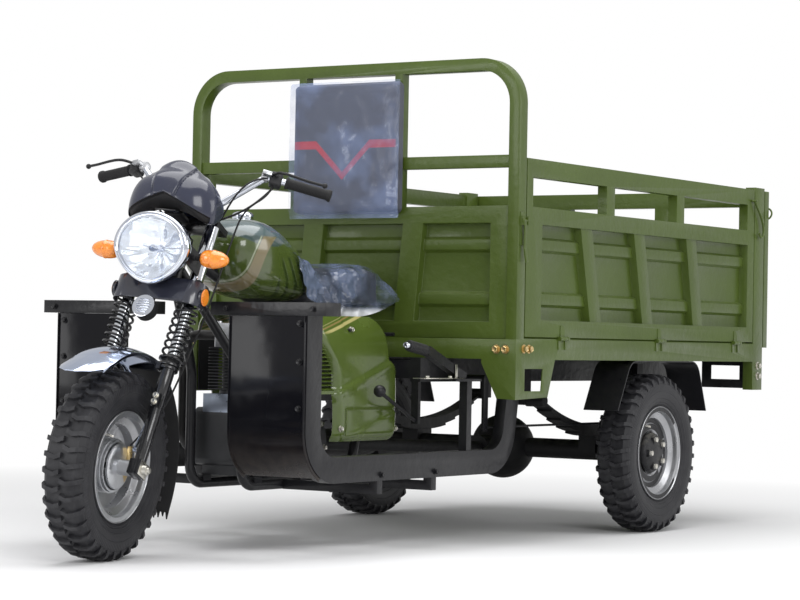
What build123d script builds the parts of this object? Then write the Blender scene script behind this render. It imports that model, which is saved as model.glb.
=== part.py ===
from build123d import *
from math import asin, cos, radians, sin
import os

# Cargo motor tricycle: one steered front wheel, a saddle and tank over an air-cooled engine,
# and a load bed with two drop sides and a tailgate over a live rear axle.
# Millimetres. X forward, Y to the rider's left, Z up.
# The origin lies on the floor under the middle of the vehicle.

# Wheels and stance
wheelbase = 2350
front_axle_x = 1485
rear_axle_x = front_axle_x - wheelbase
rear_track = 1190
tyre_radius = 284
tyre_width = 132
bead_radius = 152.4
bead_width = 98
rim_flange_radius = 167
rim_steel = 3
seat_gap = 0.3

# Tread: two rows of kinked blocks, one row half a pitch ahead of the other
lug_count = 36
lug_length = 41
lug_kink = 9
lug_depth = 12
lug_reach = (lug_length + lug_kink) / 2
lug_top = (tyre_radius**2 - lug_reach**2) ** 0.5

# Steering: the axis leans back, and the front wheel rests turned a little to the left
rake = 25.3
rest_steer = 11
fork_offset = 40
fork_half_width = 104

# Handlebar, in the steering frame: foot at the clamp, upper bend and tip of its left half
bar_diameter = 22
bar_foot = (28, 60, 862)
bar_bend = (8, 215, 1010)
bar_tip = (-75, 400, 1006)
grip_diameter = 33
lever_share = 0.168
lever_clamp = 50
lever_clamp_high = 46
lever_diameter = 11

# Load bed
bed_front_x = 210
bed_length = 1950
bed_half_width = 665
bed_rear_x = bed_front_x - bed_length
sill_bottom_z = 615
hinge_line_z = 690
board_top_z = 1117
fence_top_z = 1275
arch_top_z = 1602
arch_bar_top_z = 1283
arch_depth = 50
arch_width = 40
arch_corner_radius = 150
board_thickness = 36
board_gap = 6
rail_height = 56
fence_rail_height = 60
sheet_steel = 3
rear_post_depth = 85
rear_leg_bottom_z = 507
floor_z = hinge_line_z - board_gap
floor_sheet = 3

# Hinges of the boards stand a little outside and below them
hinge_out = 8
hinge_below = 4
hinge_radius = 7.5
hinge_pin_radius = 4
gate_drop = 20
side_hinge_y = bed_half_width + hinge_out
side_hinge_z = hinge_line_z - hinge_below
gate_foot_z = hinge_line_z - gate_drop
gate_hinge_x = bed_rear_x - hinge_out
gate_hinge_z = gate_foot_z - hinge_below
# Offsets of the side hinges from the bed's front, and the places of the tailgate's
side_hinges = [307, 1025, 1661]
gate_hinges = [-450, 0, 450]

# Leg guard
guard_front_x = 1135
guard_outer_y = 480
guard_tube_wide = 80
guard_tube_thin = 40
guard_bar_end_y = 545
guard_bar_inner_y = 118
guard_top_z = 778
guard_rail_z = 272
guard_bend = 120

# Frame
frame_rail_y = 300
frame_rail_high = 80
frame_rail_wide = 40
cradle_y = 100
cradle_x = 935
cradle_bottom_z = 205
cradle_tube = 32

# Engine
cylinder_x = 820
cylinder_half = 75
cylinder_base_z = 490
cylinder_top_z = 642
fin_count = 14
fin_thickness = 3
head_top_z = 715

engine_bottom_z = 232
engine_rear_x = 540

# Saddle, side covers and tank
cover_side_y = 250
cover_wall = 4
tank_rear_x = 600
tank_front_x = 985
tank_top_z = 1052
seat_rear_x = 262
seat_front_x = tank_rear_x - seat_gap
seat_top_z = 905
seat_base_z = 785
louvre_count = 12
louvre_pitch = 11


# Helpers


def block(x_limits, y_limits, z_limits):
    """Box between low and high limits on each axis."""
    (x0, x1), (y0, y1), (z0, z1) = x_limits, y_limits, z_limits
    centre = Pos((x0 + x1) / 2, (y0 + y1) / 2, (z0 + z1) / 2)
    return centre * Box(x1 - x0, y1 - y0, z1 - z0)


def both_sides(shapes):
    """The given left-hand shapes and their mirror images across the middle plane."""
    return shapes + [mirror(shape, Plane.XZ) for shape in shapes]


def round_tube(points, bend, diameter):
    """Solid round bar along straight runs with bends."""
    path = FilletPolyline(*points, radius=bend) if len(points) > 2 else Line(*points)
    return sweep((path ^ 0) * Circle(diameter / 2), path=path)


def flat_tube(points, bend, across, deep, side):
    """Rectangular bar along straight runs; side is the direction that 'across' is measured in."""
    path = FilletPolyline(*points, radius=bend) if len(points) > 2 else Line(*points)
    start = Plane(origin=path @ 0, x_dir=side, z_dir=path % 0)
    return sweep(start * Rectangle(across, deep), path=path)


def disc(radius, y_limits, x=0, z=0):
    """Round disc or bar lying across the vehicle."""
    low, high = y_limits
    return Pos(x, (low + high) / 2, z) * Rot(90, 0, 0) * Cylinder(radius, high - low)


def turned(outline):
    """Ring turned about the wheel axis from (radius, side) points."""
    return revolve(make_face(Polyline(*outline, close=True)), Axis.Y)


def dome_middle(rim, tip, radius):
    """Middle point (along, out) of the arc that closes a round form from its rim squarely onto the axis."""
    rise = tip - rim
    ball = (radius**2 + rise**2) / (2 * rise)
    half_angle = asin(radius / ball) / 2
    return tip - ball + ball * cos(half_angle), ball * sin(half_angle)


def point_in(frame, x, y, z):
    """World position of a point given in a frame."""
    return (frame * Pos(x, y, z)).position


def fused(shapes):
    """One solid from touching shapes."""
    first, *rest = shapes
    return first.fuse(*rest).clean() if rest else first


# Steering frame: its Z is the steering axis and its origin is level with the front axle

lean = radians(rake)
axle_drop = Vector(fork_offset * cos(lean), 0, fork_offset * sin(lean))
steering_origin = Vector(front_axle_x, 0, tyre_radius) - axle_drop
steering_frame = Pos(*steering_origin) * Rot(0, -rake, 0) * Rot(0, 0, rest_steer)
axle_frame = steering_frame * Pos(fork_offset, 0, 0)
straight_frame = Pos(*steering_origin) * Rot(0, -rake, 0)


# Wheels


def tyre():
    """Tyre with a round belly and two rows of chunky kinked blocks."""
    crown = lug_top - lug_depth
    shoulder = (crown - 13, tyre_width / 2 - 6)
    bead_side = bead_width / 2
    flank_radius = 224
    bore = bead_radius + seat_gap
    lip = rim_flange_radius + 2
    outline = [
        Line((bore, -bead_side), (bore, bead_side)),
        Line((bore, bead_side), (lip, bead_side)),
        ThreePointArc((lip, bead_side), (flank_radius, tyre_width / 2), shoulder),
        Line(shoulder, (crown, tyre_width / 2 - 20)),
        Line((crown, tyre_width / 2 - 20), (crown, 20 - tyre_width / 2)),
        Line((crown, 20 - tyre_width / 2), (shoulder[0], -shoulder[1])),
        ThreePointArc((shoulder[0], -shoulder[1]), (flank_radius, -tyre_width / 2), (lip, -bead_side)),
        Line((lip, -bead_side), (bore, -bead_side)),
    ]
    carcass = revolve(make_face(outline), Axis.Y)
    edge = tyre_width / 2
    side_view = Polyline((0, 1, lug_top), (0, edge - 22, lug_top - 2), (0, edge - 5, crown),
                         (0, edge - 1, crown - 16), (0, edge - 4, crown - 34), (0, 1, crown - 20), close=True)
    ridge = extrude(make_face(side_view), amount=lug_reach + 5, both=True, dir=(1, 0, 0))
    near, far = -lug_reach, lug_length - lug_reach
    plan = Polyline((near, 0), (near + lug_kink, 21), (near, edge + 1), (far, edge + 1), (far + lug_kink, 21),
                    (far, 0), close=True)
    lug = ridge & (Pos(0, 0, crown - 40) * extrude(make_face(plan), amount=60))
    pitch = 360 / lug_count
    rows = [Rot(0, i * pitch, 0) * lug for i in range(lug_count)]
    rows += [Rot(0, (i + 0.5) * pitch, 0) * mirror(lug, Plane.XZ) for i in range(lug_count)]
    return fused([carcass] + rows)


def rim_ring():
    """Drop-centre rim: a steel channel between two rolled flanges, stepped towards the disc."""
    side = bead_width / 2 + seat_gap
    well = bead_radius - 24
    outer = [
        (rim_flange_radius - 2, side + rim_steel + 4),
        (rim_flange_radius, side + rim_steel + 3),
        (rim_flange_radius, side),
        (bead_radius, side),
        (bead_radius, 32),
        (well, 24),
    ]
    inner = [
        (well - rim_steel, 24),
        (bead_radius - 10, 31),
        (bead_radius - rim_steel - 2, 34),
        (bead_radius - rim_steel, side + rim_steel),
        (rim_flange_radius - 3, side + rim_steel),
    ]
    half = outer + [(r, -y) for r, y in reversed(outer)]
    back = [(r, -y) for r, y in reversed(inner)] + inner
    return turned(half + back)


axle_stub_radius = 15
front_axle_radius = 9


def rear_wheel():
    """Steel disc wheel with a black hub dome and five nuts."""
    well = bead_radius - 24
    dish = turned([(60, -6), (90, 10), (well - 1, 10), (well - 1, 14), (108, 14), (104, 18), (84, 18), (60, -2)])
    bore = axle_stub_radius + seat_gap
    hub = turned([(bore, -60), (58, -60), (62, -6), (62, 14), (72, 16), (72, 24), (66, 34), (40, 44), (0.0, 44),
                  (0.0, 0.0), (bore, 0.0)])
    nuts = []
    for turn in range(0, 360, 72):
        socket = Box(26, 10, 26) + Pos(0, 5, 0) * Rot(90, 0, 0) * Cylinder(9, 16)
        nuts.append(Rot(0, turn, 0) * Pos(50, 40, 0) * socket)
    return fused([rim_ring(), dish, hub] + nuts)


def front_wheel():
    """Steel disc wheel around a brake drum that is open to the left."""
    well = bead_radius - 24
    dish = turned([(76, -30), (100, -14), (well - 1, -10), (well - 1, -6), (98, -10), (76, -26)])
    bore = front_axle_radius + seat_gap
    drum = turned([(bore, -46), (60, -46), (78, -34), (78, 30), (70, 30), (70, -26), (bore, -26)])
    ribs = [turned([(77, y), (82, y), (82, y + 4), (77, y + 4)]) for y in (-20, -8, 4, 16)]
    return fused([rim_ring(), dish, drum] + ribs)


wheel_centres = {
    "rear_left": Pos(rear_axle_x, rear_track / 2, tyre_radius),
    "rear_right": Pos(rear_axle_x, -rear_track / 2, tyre_radius) * Rot(0, 0, 180),
    "front": axle_frame * Rot(0, rake, 0),
}


# Frame and running gear

rail_front_x = 240
backbone_tube = 48
stem_radius = 13
rail_top_z = sill_bottom_z
rail_mid_z = rail_top_z - frame_rail_high / 2


def frame():
    """Ladder rails under the bed, backbone, head tube and a double cradle round the engine."""
    rail = block((bed_rear_x + 60, rail_front_x),
                 (frame_rail_y - frame_rail_wide / 2, frame_rail_y + frame_rail_wide / 2),
                 (rail_top_z - frame_rail_high, rail_top_z))
    cross_members = [
        block((x - 20, x + 20), (-frame_rail_y, frame_rail_y), (rail_mid_z - 30, rail_mid_z + 30))
        for x in (bed_rear_x + 90, rear_axle_x - 480, rear_axle_x + 500, rail_front_x - 20)
    ]
    head_tube = straight_frame * Pos(0, 0, 705) * Cylinder(27, 150)
    bore = straight_frame * Pos(0, 0, 705) * Cylinder(stem_radius + seat_gap, 160)
    low_neck = point_in(straight_frame, -10, 0, 672)
    cradle_path = [
        (low_neck.X, 14, low_neck.Z),
        (cradle_x, cradle_y, 560),
        (cradle_x, cradle_y, cradle_bottom_z),
        (330, cradle_y, cradle_bottom_z),
        (rail_front_x - 20, cradle_y, rail_mid_z),
    ]
    cradle = round_tube(cradle_path, 60, cradle_tube)
    seat_rail = round_tube([(seat_front_x - 40, 90, seat_base_z - 12.5 - seat_gap),
                            (seat_rear_x + 20, 90, seat_base_z - 12.5 - seat_gap)], 0, 25)
    seat_post = round_tube([(seat_rear_x + 40, 90, seat_base_z - 14), (rail_front_x - 20, 90, rail_mid_z)], 0, 25)
    seat_cross = block((seat_front_x - 60, seat_front_x - 40), (-90, 90), (745, 770))
    cover_in = cover_side_y - cover_wall - seat_gap
    stays = [disc(6, (90, cover_in), 290, 690), disc(6, (90, cover_in), 551, 700),
             block((545, 557), (84, 96), (700, 760))]
    mounts = [block((x, x + 40), (cradle_y - 14, cradle_y + 14), (cradle_bottom_z, engine_bottom_z - seat_gap))
              for x in (590, 840)]
    pieces = [rail, mirror(rail, Plane.XZ), head_tube, backbone(0), seat_cross]
    pieces += both_sides([cradle, seat_rail, seat_post] + stays + mounts) + cross_members
    return fused(pieces) - bore


def backbone(extra):
    """Main tube from the head to the cross member behind the saddle, grown by a clearance."""
    neck = point_in(straight_frame, -25, 0, 740)
    path = [neck, (760, 0, 800), (450, 0, 715), (rail_front_x - 20, 0, rail_mid_z)]
    return round_tube(path, 60, backbone_tube + 2 * extra)


def guard_rails():
    """Leg guards: a flat bar across the front, a post that bends into the step rail, then up to the bed."""
    mid_y = guard_outer_y - guard_tube_thin / 2
    post_x = guard_front_x - guard_tube_wide / 2
    rear_x = -60
    path = [
        (post_x, mid_y, guard_top_z - 20),
        (post_x, mid_y, guard_rail_z),
        (rear_x, mid_y, guard_rail_z),
        (rear_x - 60, mid_y, sill_bottom_z),
    ]
    post = flat_tube(path, guard_bend, guard_tube_thin, guard_tube_wide, (0, 1, 0))
    bar = block((guard_front_x - guard_tube_wide, guard_front_x), (guard_bar_inner_y, guard_bar_end_y),
                (guard_top_z - guard_tube_thin, guard_top_z))
    reach_y = cradle_y + cradle_tube / 2 + seat_gap
    brace = block((700, 730), (reach_y, mid_y), (cradle_bottom_z - 15, cradle_bottom_z + 15))
    brace_end = block((700, 730), (mid_y - 15, mid_y + 15), (cradle_bottom_z - 15, guard_rail_z))
    rear_brace = block((380, 410), (reach_y, mid_y), (cradle_bottom_z - 15, cradle_bottom_z + 15))
    rear_end = block((380, 410), (mid_y - 15, mid_y + 15), (cradle_bottom_z - 15, guard_rail_z))
    left = fused([post, bar, brace, brace_end, rear_brace, rear_end])
    return both_sides([left])


def leg_shields():
    """Glossy shields in front of the guard posts, with folded rims, that follow the bend at the foot."""
    sheet = 3
    rim = 9
    inner_y, outer_y = 198, guard_outer_y - 2
    top = guard_top_z - guard_tube_thin - 1
    radius = guard_bend + guard_tube_wide / 2 + seat_gap + sheet / 2
    centre = (guard_front_x - guard_tube_wide / 2 - guard_bend, guard_rail_z + guard_bend)
    line = Line((centre[0] + radius, top), (centre[0] + radius, centre[1]))
    curve = CenterArc(centre, radius, 0, -62)
    path = Plane.XZ * Wire([line, curve])
    start = Plane(origin=path @ 0, x_dir=(0, 1, 0), z_dir=path % 0)
    deep = sheet / 2 + rim
    # Section across the sheet: the rims stand out at both edges, on the side away from the posts
    section = Polyline((inner_y, -sheet / 2), (outer_y, -sheet / 2), (outer_y, deep), (outer_y - sheet, deep),
                       (outer_y - sheet, sheet / 2), (inner_y + sheet, sheet / 2), (inner_y + sheet, deep),
                       (inner_y, deep), close=True)
    return both_sides([sweep(start * make_face(section), path=path)])


# Load bed


hinge_length = 30
lug_length = 14


def hinge_lugs(place):
    """Fixed half of a hinge: a pin between two lugs on tabs, with its axis along X and the bed towards -Y."""
    pin = Rot(0, 90, 0) * Cylinder(hinge_pin_radius, hinge_length + 2 * lug_length + 2)
    pieces = [pin]
    for side in (-1, 1):
        x = side * (hinge_length / 2 + 1 + lug_length / 2)
        pieces.append(Pos(x, 0, 0) * Rot(0, 90, 0) * Cylinder(hinge_radius, lug_length))
        pieces.append(block((x - lug_length / 2, x + lug_length / 2), (-hinge_out, -hinge_out + 4), (-36, 0)))
    return [place * fused(pieces)]


def hinge_knuckle(place, board_lift):
    """Moving half of a hinge: a bored knuckle on a strap against the board."""
    half = hinge_length / 2
    knuckle = Rot(0, 90, 0) * Cylinder(hinge_radius, hinge_length)
    strap = block((-half, half), (-hinge_out, -hinge_out + 3), (-1, board_lift))
    bore = Rot(0, 90, 0) * Cylinder(hinge_pin_radius + seat_gap, hinge_length)
    return [place * (fused([knuckle, strap]) - bore)]


def pressed_rib(x_limits, y, z, deep):
    """Trapezoid bead along X, pressed outwards (towards +Y) from the plane at y."""
    low, high = x_limits
    outline = Polyline((low, y, z - 27), (low, y, z + 27), (low, y + deep, z + 17), (low, y + deep, z - 17), close=True)
    return extrude(make_face(outline), amount=high - low, dir=(1, 0, 0))


def latch(x, top):
    """Over-centre latch on the outside of a post: back plate, two cheeks, a pin and the hanging handle."""
    y = bed_half_width
    plate = block((x - 16, x + 16), (y - 1, y + 3), (top - 110, top))
    cheeks = [block((x + side - 2, x + side + 2), (y, y + 16), (top - 44, top - 14)) for side in (-12, 12)]
    pin = Pos(x, y + 11, top - 29) * Rot(0, 90, 0) * Cylinder(4, 30)
    handle_path = [(x, y + 11, top - 29), (x, y + 11, top - 120), (x - 6, y + 15, top - 165)]
    handle = flat_tube(handle_path, 20, 14, 5, (1, 0, 0))
    return fused([plate, pin, handle] + cheeks)


def bed_floor():
    """Floor plate on cross members between two sills, with corner brackets and rear posts."""
    front = bed_front_x
    rear_inner = bed_rear_x + board_thickness + board_gap
    sill_in = bed_half_width - 50
    beam_top = floor_z - floor_sheet
    plate = block((rear_inner, front - arch_depth - seat_gap), (-bed_half_width + 1, bed_half_width - 1),
                  (beam_top, floor_z))
    sill = block((rear_inner, front), (sill_in, bed_half_width), (sill_bottom_z, beam_top))
    cross = [
        block((x - 25, x + 25), (-sill_in, sill_in), (sill_bottom_z, beam_top))
        for x in [rear_inner + 25 + step * 300 for step in range(6)]
    ]
    cross.append(block((front - arch_depth - 30, front), (-sill_in, sill_in), (sill_bottom_z, beam_top)))
    post = block((rear_inner, rear_inner + rear_post_depth), (bed_half_width - 40, bed_half_width),
                 (rear_leg_bottom_z, fence_top_z + 10))
    inner_y = bed_half_width - 130
    gusset_profile = Polyline((front, inner_y, 603), (front, inner_y + 60, 487), (front, bed_half_width, 484),
                              (front, bed_half_width, sill_bottom_z), (front, inner_y, sill_bottom_z), close=True)
    gusset = extrude(make_face(gusset_profile), amount=3, dir=(-1, 0, 0))
    side_profile = Polyline((front, bed_half_width, 484), (front - 215, bed_half_width, 491),
                            (front - 262, bed_half_width, sill_bottom_z), (front, bed_half_width, sill_bottom_z),
                            close=True)
    window = Polyline((front - 60, bed_half_width, 512), (front - 170, bed_half_width, 512),
                      (front - 180, bed_half_width, 585), (front - 60, bed_half_width, 585), close=True)
    side_plate = extrude(make_face(side_profile) - make_face(window), amount=3, dir=(0, -1, 0))
    left = [sill, post, gusset, side_plate]
    for offset in side_hinges:
        left += hinge_lugs(Pos(front - offset, side_hinge_y, side_hinge_z))
    lugs = []
    for y in gate_hinges:
        lugs += hinge_lugs(Pos(gate_hinge_x, y, gate_hinge_z) * Rot(0, 0, 90))
    rear_sill = block((bed_rear_x, rear_inner + 40), (-sill_in, sill_in), (sill_bottom_z, gate_foot_z - board_gap))
    return fused([plate, rear_sill] + both_sides(left) + cross + lugs)


def front_arch():
    """Goalpost of rectangular tube with a bar across, two uprights behind the backrest and the board latches."""
    x = bed_front_x - arch_depth / 2
    y = bed_half_width - arch_width / 2
    foot = floor_z - floor_sheet
    path = [(x, -y, foot), (x, -y, arch_top_z - arch_width / 2), (x, y, arch_top_z - arch_width / 2), (x, y, foot)]
    hoop = flat_tube(path, arch_corner_radius - arch_width / 2, arch_depth, arch_width, (1, 0, 0))
    inner = bed_half_width - arch_width
    bar = block((x - 18, x + 18), (-inner, inner), (arch_bar_top_z - 40, arch_bar_top_z))
    uprights = [
        block((x - 15, bed_front_x), (side - 15, side + 15), (board_top_z, arch_top_z - arch_width))
        for side in (-195, 195)
    ]
    return fused([hoop, bar] + uprights + both_sides([latch(x - 4, board_top_z - 20)]))


def front_panel():
    """Fixed bulkhead: rails, slanted middle ribs and a recessed sheet with pressed beads."""
    x1 = bed_front_x - 8
    x0 = x1 - board_thickness
    inner = bed_half_width - arch_width
    foot = floor_z - floor_sheet
    top = block((x0, x1), (-inner, inner), (board_top_z - rail_height, board_top_z))
    bottom = block((x0, x1), (-inner, inner), (foot, foot + rail_height))
    ends = [block((x0, x1), pair, (foot, board_top_z)) for pair in ((inner - 70, inner), (-inner, -inner + 70))]
    sheet = block((x0, x0 + sheet_steel), (-inner, inner), (foot, board_top_z))
    turn_round = Pos(x0 + 1, 0, 0) * Rot(0, 0, -90)
    ribs = [turn_round * pressed_rib((-inner, inner), 0, z, 16) for z in (foot + 130, foot + 310)]
    slants = []
    for low_y in (-220, 180):
        rib = Polyline((x0, low_y, foot), (x0, low_y + 80, foot), (x0, low_y + 120, board_top_z),
                       (x0, low_y + 40, board_top_z), close=True)
        slants.append(extrude(make_face(rib), amount=board_thickness, dir=(1, 0, 0)))
    return fused([top, bottom, sheet] + ends + ribs + slants)


# Columns: offset of the rib's top from the bed's front, offset of its foot
side_ribs = [(463, 560), (855, 951), (1270, 1356)]
rib_width = 80
# Heights of the pressed beads above the board's foot
bead_heights = (125, 305)
# Offsets of the fence's uprights from the bed's front
fence_uprights = [640, 1182]


def side_board():
    """Left drop side with its fence: frame, slanted ribs, pressed sheet and hinge knuckles."""
    y1 = bed_half_width
    y0 = y1 - board_thickness
    x1 = bed_front_x - arch_depth - board_gap
    x0 = bed_rear_x + board_thickness + board_gap + rear_post_depth + board_gap
    foot = hinge_line_z
    pieces = [
        block((x0, x1), (y0, y1), (board_top_z - rail_height, board_top_z)),
        block((x0, x1), (y0, y1), (foot, foot + rail_height)),
        block((x1 - 105, x1), (y0, y1), (foot, board_top_z)),
        block((x0, x0 + 55), (y0, y1), (foot, board_top_z)),
        block((x0, x1), (y0, y0 + sheet_steel), (foot, board_top_z)),
        block((x0, x1), (y0, y1), (fence_top_z - fence_rail_height, fence_top_z)),
        block((x0, x0 + 60), (y0, y1), (board_top_z, fence_top_z)),
        block((x1 - 40, x1), (y0, y1), (board_top_z, fence_top_z)),
    ]
    for z in bead_heights:
        pieces.append(pressed_rib((x0 + 5, x1 - 5), y0 + 1, foot + z, 17))
    for top, low in side_ribs:
        a = bed_front_x - top
        b = bed_front_x - low
        rib = Polyline((a - rib_width / 2, y0, board_top_z - 10), (a + rib_width / 2, y0, board_top_z - 10),
                       (b + rib_width / 2, y0, foot + 10), (b - rib_width / 2, y0, foot + 10), close=True)
        pieces.append(extrude(make_face(rib), amount=board_thickness - 4, dir=(0, 1, 0)))
    for offset in fence_uprights:
        x = bed_front_x - offset
        pieces.append(block((x - 30, x + 30), (y0, y1), (board_top_z, fence_top_z)))
    for offset in side_hinges:
        pieces += hinge_knuckle(Pos(bed_front_x - offset, side_hinge_y, side_hinge_z), 44)
    return fused(pieces)


def tailgate():
    """Rear board across the whole bed with its fence."""
    x0 = bed_rear_x
    x1 = x0 + board_thickness
    w = bed_half_width
    foot = gate_foot_z
    pieces = [
        block((x0, x1), (-w, w), (board_top_z - rail_height, board_top_z)),
        block((x0, x1), (-w, w), (foot, foot + rail_height)),
        block((x1 - sheet_steel, x1), (-w, w), (foot, board_top_z)),
        block((x0, x1), (-w, w), (fence_top_z - fence_rail_height, fence_top_z)),
    ]
    turn_round = Pos(x1 - 1, 0, 0) * Rot(0, 0, 90)
    for z in bead_heights:
        pieces.append(turn_round * pressed_rib((5 - w, w - 5), 0, foot + gate_drop + z, 17))
    for side in (-w + 30, -220, 220, w - 30):
        pieces.append(block((x0, x1), (side - 30, side + 30), (foot, fence_top_z)))
    for y in gate_hinges:
        pieces += hinge_knuckle(Pos(gate_hinge_x, y, gate_hinge_z) * Rot(0, 0, 90), 44)
    return fused(pieces)


# Rider's place


def backrest():
    """Upright padded board in front of the arch."""
    x0 = bed_front_x + seat_gap
    pad = block((x0, x0 + 48), (-208, 222), (1090, 1541))
    pad = fillet(pad.edges().filter_by(Axis.X), 24)
    return fillet(pad.faces().sort_by(Axis.X)[-1].edges(), 14)


def seat():
    """Broad saddle that rises to the back and narrows towards the tank."""
    profile = Polyline((seat_rear_x, 0, seat_base_z), (seat_rear_x, 0, seat_top_z - 10),
                       (seat_rear_x + 60, 0, seat_top_z), (seat_front_x - 130, 0, seat_top_z - 50),
                       (seat_front_x, 0, seat_top_z - 40), (seat_front_x, 0, seat_base_z), close=True)
    body = extrude(make_face(profile), amount=170, both=True, dir=(0, 1, 0))
    plan = Polyline((seat_rear_x, -170), (seat_rear_x, 170), (seat_rear_x + 190, 165), (seat_front_x, 105),
                    (seat_front_x, -105), (seat_rear_x + 190, -165), close=True)
    body = body & (Pos(0, 0, seat_base_z) * extrude(make_face(plan), amount=200))
    base = body.faces().sort_by(Axis.Z)[0]
    upper = [edge for edge in body.edges() if edge.center().Z > base.center().Z + 5]
    return fillet(upper, 16)


def fuel_tank():
    """Teardrop tank astride the backbone, with its cap."""
    sections = []
    # Columns: x, half width, bottom z, top z, corner radius
    for x, half, low, high, corner in [
        (tank_rear_x, 92, 820, 940, 38),
        (tank_rear_x + 110, 120, 800, 1005, 60),
        (tank_front_x - 170, 150, 810, tank_top_z, 80),
        (tank_front_x - 50, 140, 860, tank_top_z - 20, 60),
        (tank_front_x, 105, 900, 1000, 36),
    ]:
        plane = Plane(origin=(x, 0, (low + high) / 2), x_dir=(0, 1, 0), z_dir=(1, 0, 0))
        sections.append(plane * RectangleRounded(2 * half, high - low, corner))
    body = loft(sections, ruled=True)
    cap_x = tank_front_x - 170
    cap = Pos(cap_x, 0, tank_top_z + 4) * (Cylinder(34, 16) + Pos(0, 0, 10) * Cylinder(22, 10))
    flap = block((cap_x - 46, cap_x - 20), (-12, 12), (tank_top_z - 4, tank_top_z + 9))
    return fused([body, cap, flap]) - backbone(seat_gap)


def side_covers():
    """Bulged body covers under the saddle, with a raised diagonal band and louvres at the front edge."""
    y = cover_side_y
    rear = seat_rear_x
    front = tank_rear_x + 20
    corners = [(rear, 345), (rear, 716), (front, 722), (front + 102, 640), (front + 70, 420), (front - 60, 345)]
    outline = make_face(Polyline(*corners, close=True))
    outline = fillet(outline.vertices(), 22)
    side_plane = Plane(origin=(0, y, 0), x_dir=(1, 0, 0), z_dir=(0, -1, 0))
    shell = extrude(side_plane * outline, amount=70)
    inside = extrude(side_plane * offset(outline, -cover_wall), amount=90)
    outer_edges = shell.faces().sort_by(Axis.Y)[-1].edges()
    shell = fillet(outer_edges, 14)
    inside = Pos(0, -cover_wall, 0) * inside
    inside = fillet(inside.faces().sort_by(Axis.Y)[-1].edges(), 10)
    band = Polyline((rear + 40, y - 1, 360), (rear + 96, y - 1, 360), (front - 20, y - 1, 700),
                    (front - 76, y - 1, 700), close=True)
    band = extrude(make_face(band), amount=4, dir=(0, 1, 0))
    gap = Polyline((rear + 10, y, 545), (front, y, 560), (front, y, 566), (rear + 10, y, 551), close=True)
    band = band - Pos(0, 1, 0) * extrude(make_face(gap), amount=4, dir=(0, 1, 0))
    cover = shell - inside + band
    slots = []
    for i in range(louvre_count):
        half = 34 - abs(i - (louvre_count - 1) / 2) * 3.6
        z = 480 + i * louvre_pitch
        slots.append(block((front + 42 - half, front + 42 + half), (y - 20, y + 5), (z, z + 4)))
    return both_sides([cover - slots])


# Engine


def engine_case():
    """Crankcase with round side covers and a ribbed sump."""
    front = cylinder_x + 70
    body = block((engine_rear_x, front), (-120, 120), (engine_bottom_z + 30, cylinder_base_z - 44))
    body = fillet(body.edges().filter_by(Axis.Y), 24)
    deck = block((cylinder_x - 84, front - 2), (-88, 88), (cylinder_base_z - 60, cylinder_base_z))
    sump = block((engine_rear_x + 40, front - 20), (-100, 100), (engine_bottom_z, engine_bottom_z + 60))
    sides = [disc(92, (-158, 158), cylinder_x - 180, 340), disc(70, (-145, 145), cylinder_x - 30, 330),
             disc(60, (-166, 166), cylinder_x - 180, 340)]
    ribs = []
    for i in range(11):
        x = engine_rear_x + 60 + 24 * i
        ribs.append(block((x, x + 5), (-104, 104), (engine_bottom_z + 2, engine_bottom_z + 60)))
    return fused([body, deck, sump] + sides + ribs)


def engine_cylinder():
    """Barrel and head with thin rounded fins, the head cover and the spark plug."""
    barrel = Pos(cylinder_x, 0, (cylinder_base_z + head_top_z) / 2) * Cylinder(52, head_top_z - cylinder_base_z - 20)
    foot = Pos(cylinder_x, 0, cylinder_base_z + 6) * Cylinder(60, 12)
    pitch = (cylinder_top_z - cylinder_base_z - 12) / fin_count
    fins = []
    for i in range(fin_count):
        z = cylinder_base_z + 14 + i * pitch
        fin = extrude(RectangleRounded(2 * cylinder_half, 2 * cylinder_half, 22), amount=fin_thickness)
        fins.append(Pos(cylinder_x, 0, z) * fin)
    head = block((cylinder_x - 56, cylinder_x + 56), (-62, 62), (cylinder_top_z - 4, head_top_z))
    head = fillet(head.edges().filter_by(Axis.Z), 12)
    bolts = [Pos(cylinder_x + a, b, head_top_z) * Cylinder(8, 12) for a in (-42, 42) for b in (-48, 48)]
    plug = round_tube([(cylinder_x + 50, 30, cylinder_top_z + 12), (cylinder_x + 96, 52, cylinder_top_z + 42)], 0, 16)
    return fused([barrel, foot, head, plug] + fins + bolts)


def exhaust():
    """Pipe from the head down the right-hand side to a silencer with a heat shield."""
    down_x = cylinder_x + 30
    port = (down_x, -62 - seat_gap, 676)
    elbow = (down_x, -196, 676)
    pipe = round_tube([port, elbow, (down_x, -196, 310), (200, -196, 310)], 60, 32)
    silencer = revolve(make_face(Polyline((-260, 0), (-260, 22), (-240, 48), (230, 48), (262, 16), (262, 0),
                                          close=True)), Axis.X)
    tail = Pos(-290, 0, 0) * Rot(0, 90, 0) * Cylinder(14, 70)
    return fused([pipe, Pos(0, -196, 310) * silencer, Pos(0, -196, 310) * tail])


def intake():
    """Carburettor and air box behind the cylinder."""
    box_front = cylinder_x - 180
    port = cylinder_x - 56 - seat_gap
    body = block((port - 66, port - 14), (-26, 26), (652, 704))
    bowl = Pos(port - 44, 0, 640) * Cylinder(22, 40)
    flange = block((port - 8, port), (-36, 36), (662, 694))
    neck = Pos(port - 12, 0, 678) * Rot(0, 90, 0) * Cylinder(18, 12)
    box = block((box_front - 150, box_front), (-70, 70), (560, 700))
    box = fillet(box.edges().filter_by(Axis.Y), 16)
    throat = Pos((box_front + port - 60) / 2, 0, 675) * Rot(0, 90, 0) * Cylinder(20, port - 60 - box_front)
    return fused([body, bowl, flange, neck, box, throat])


# Rear axle group


spring_top_z = 372
brake_rod_y = rear_track / 2 - 161
axle_tube_radius = 36


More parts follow.
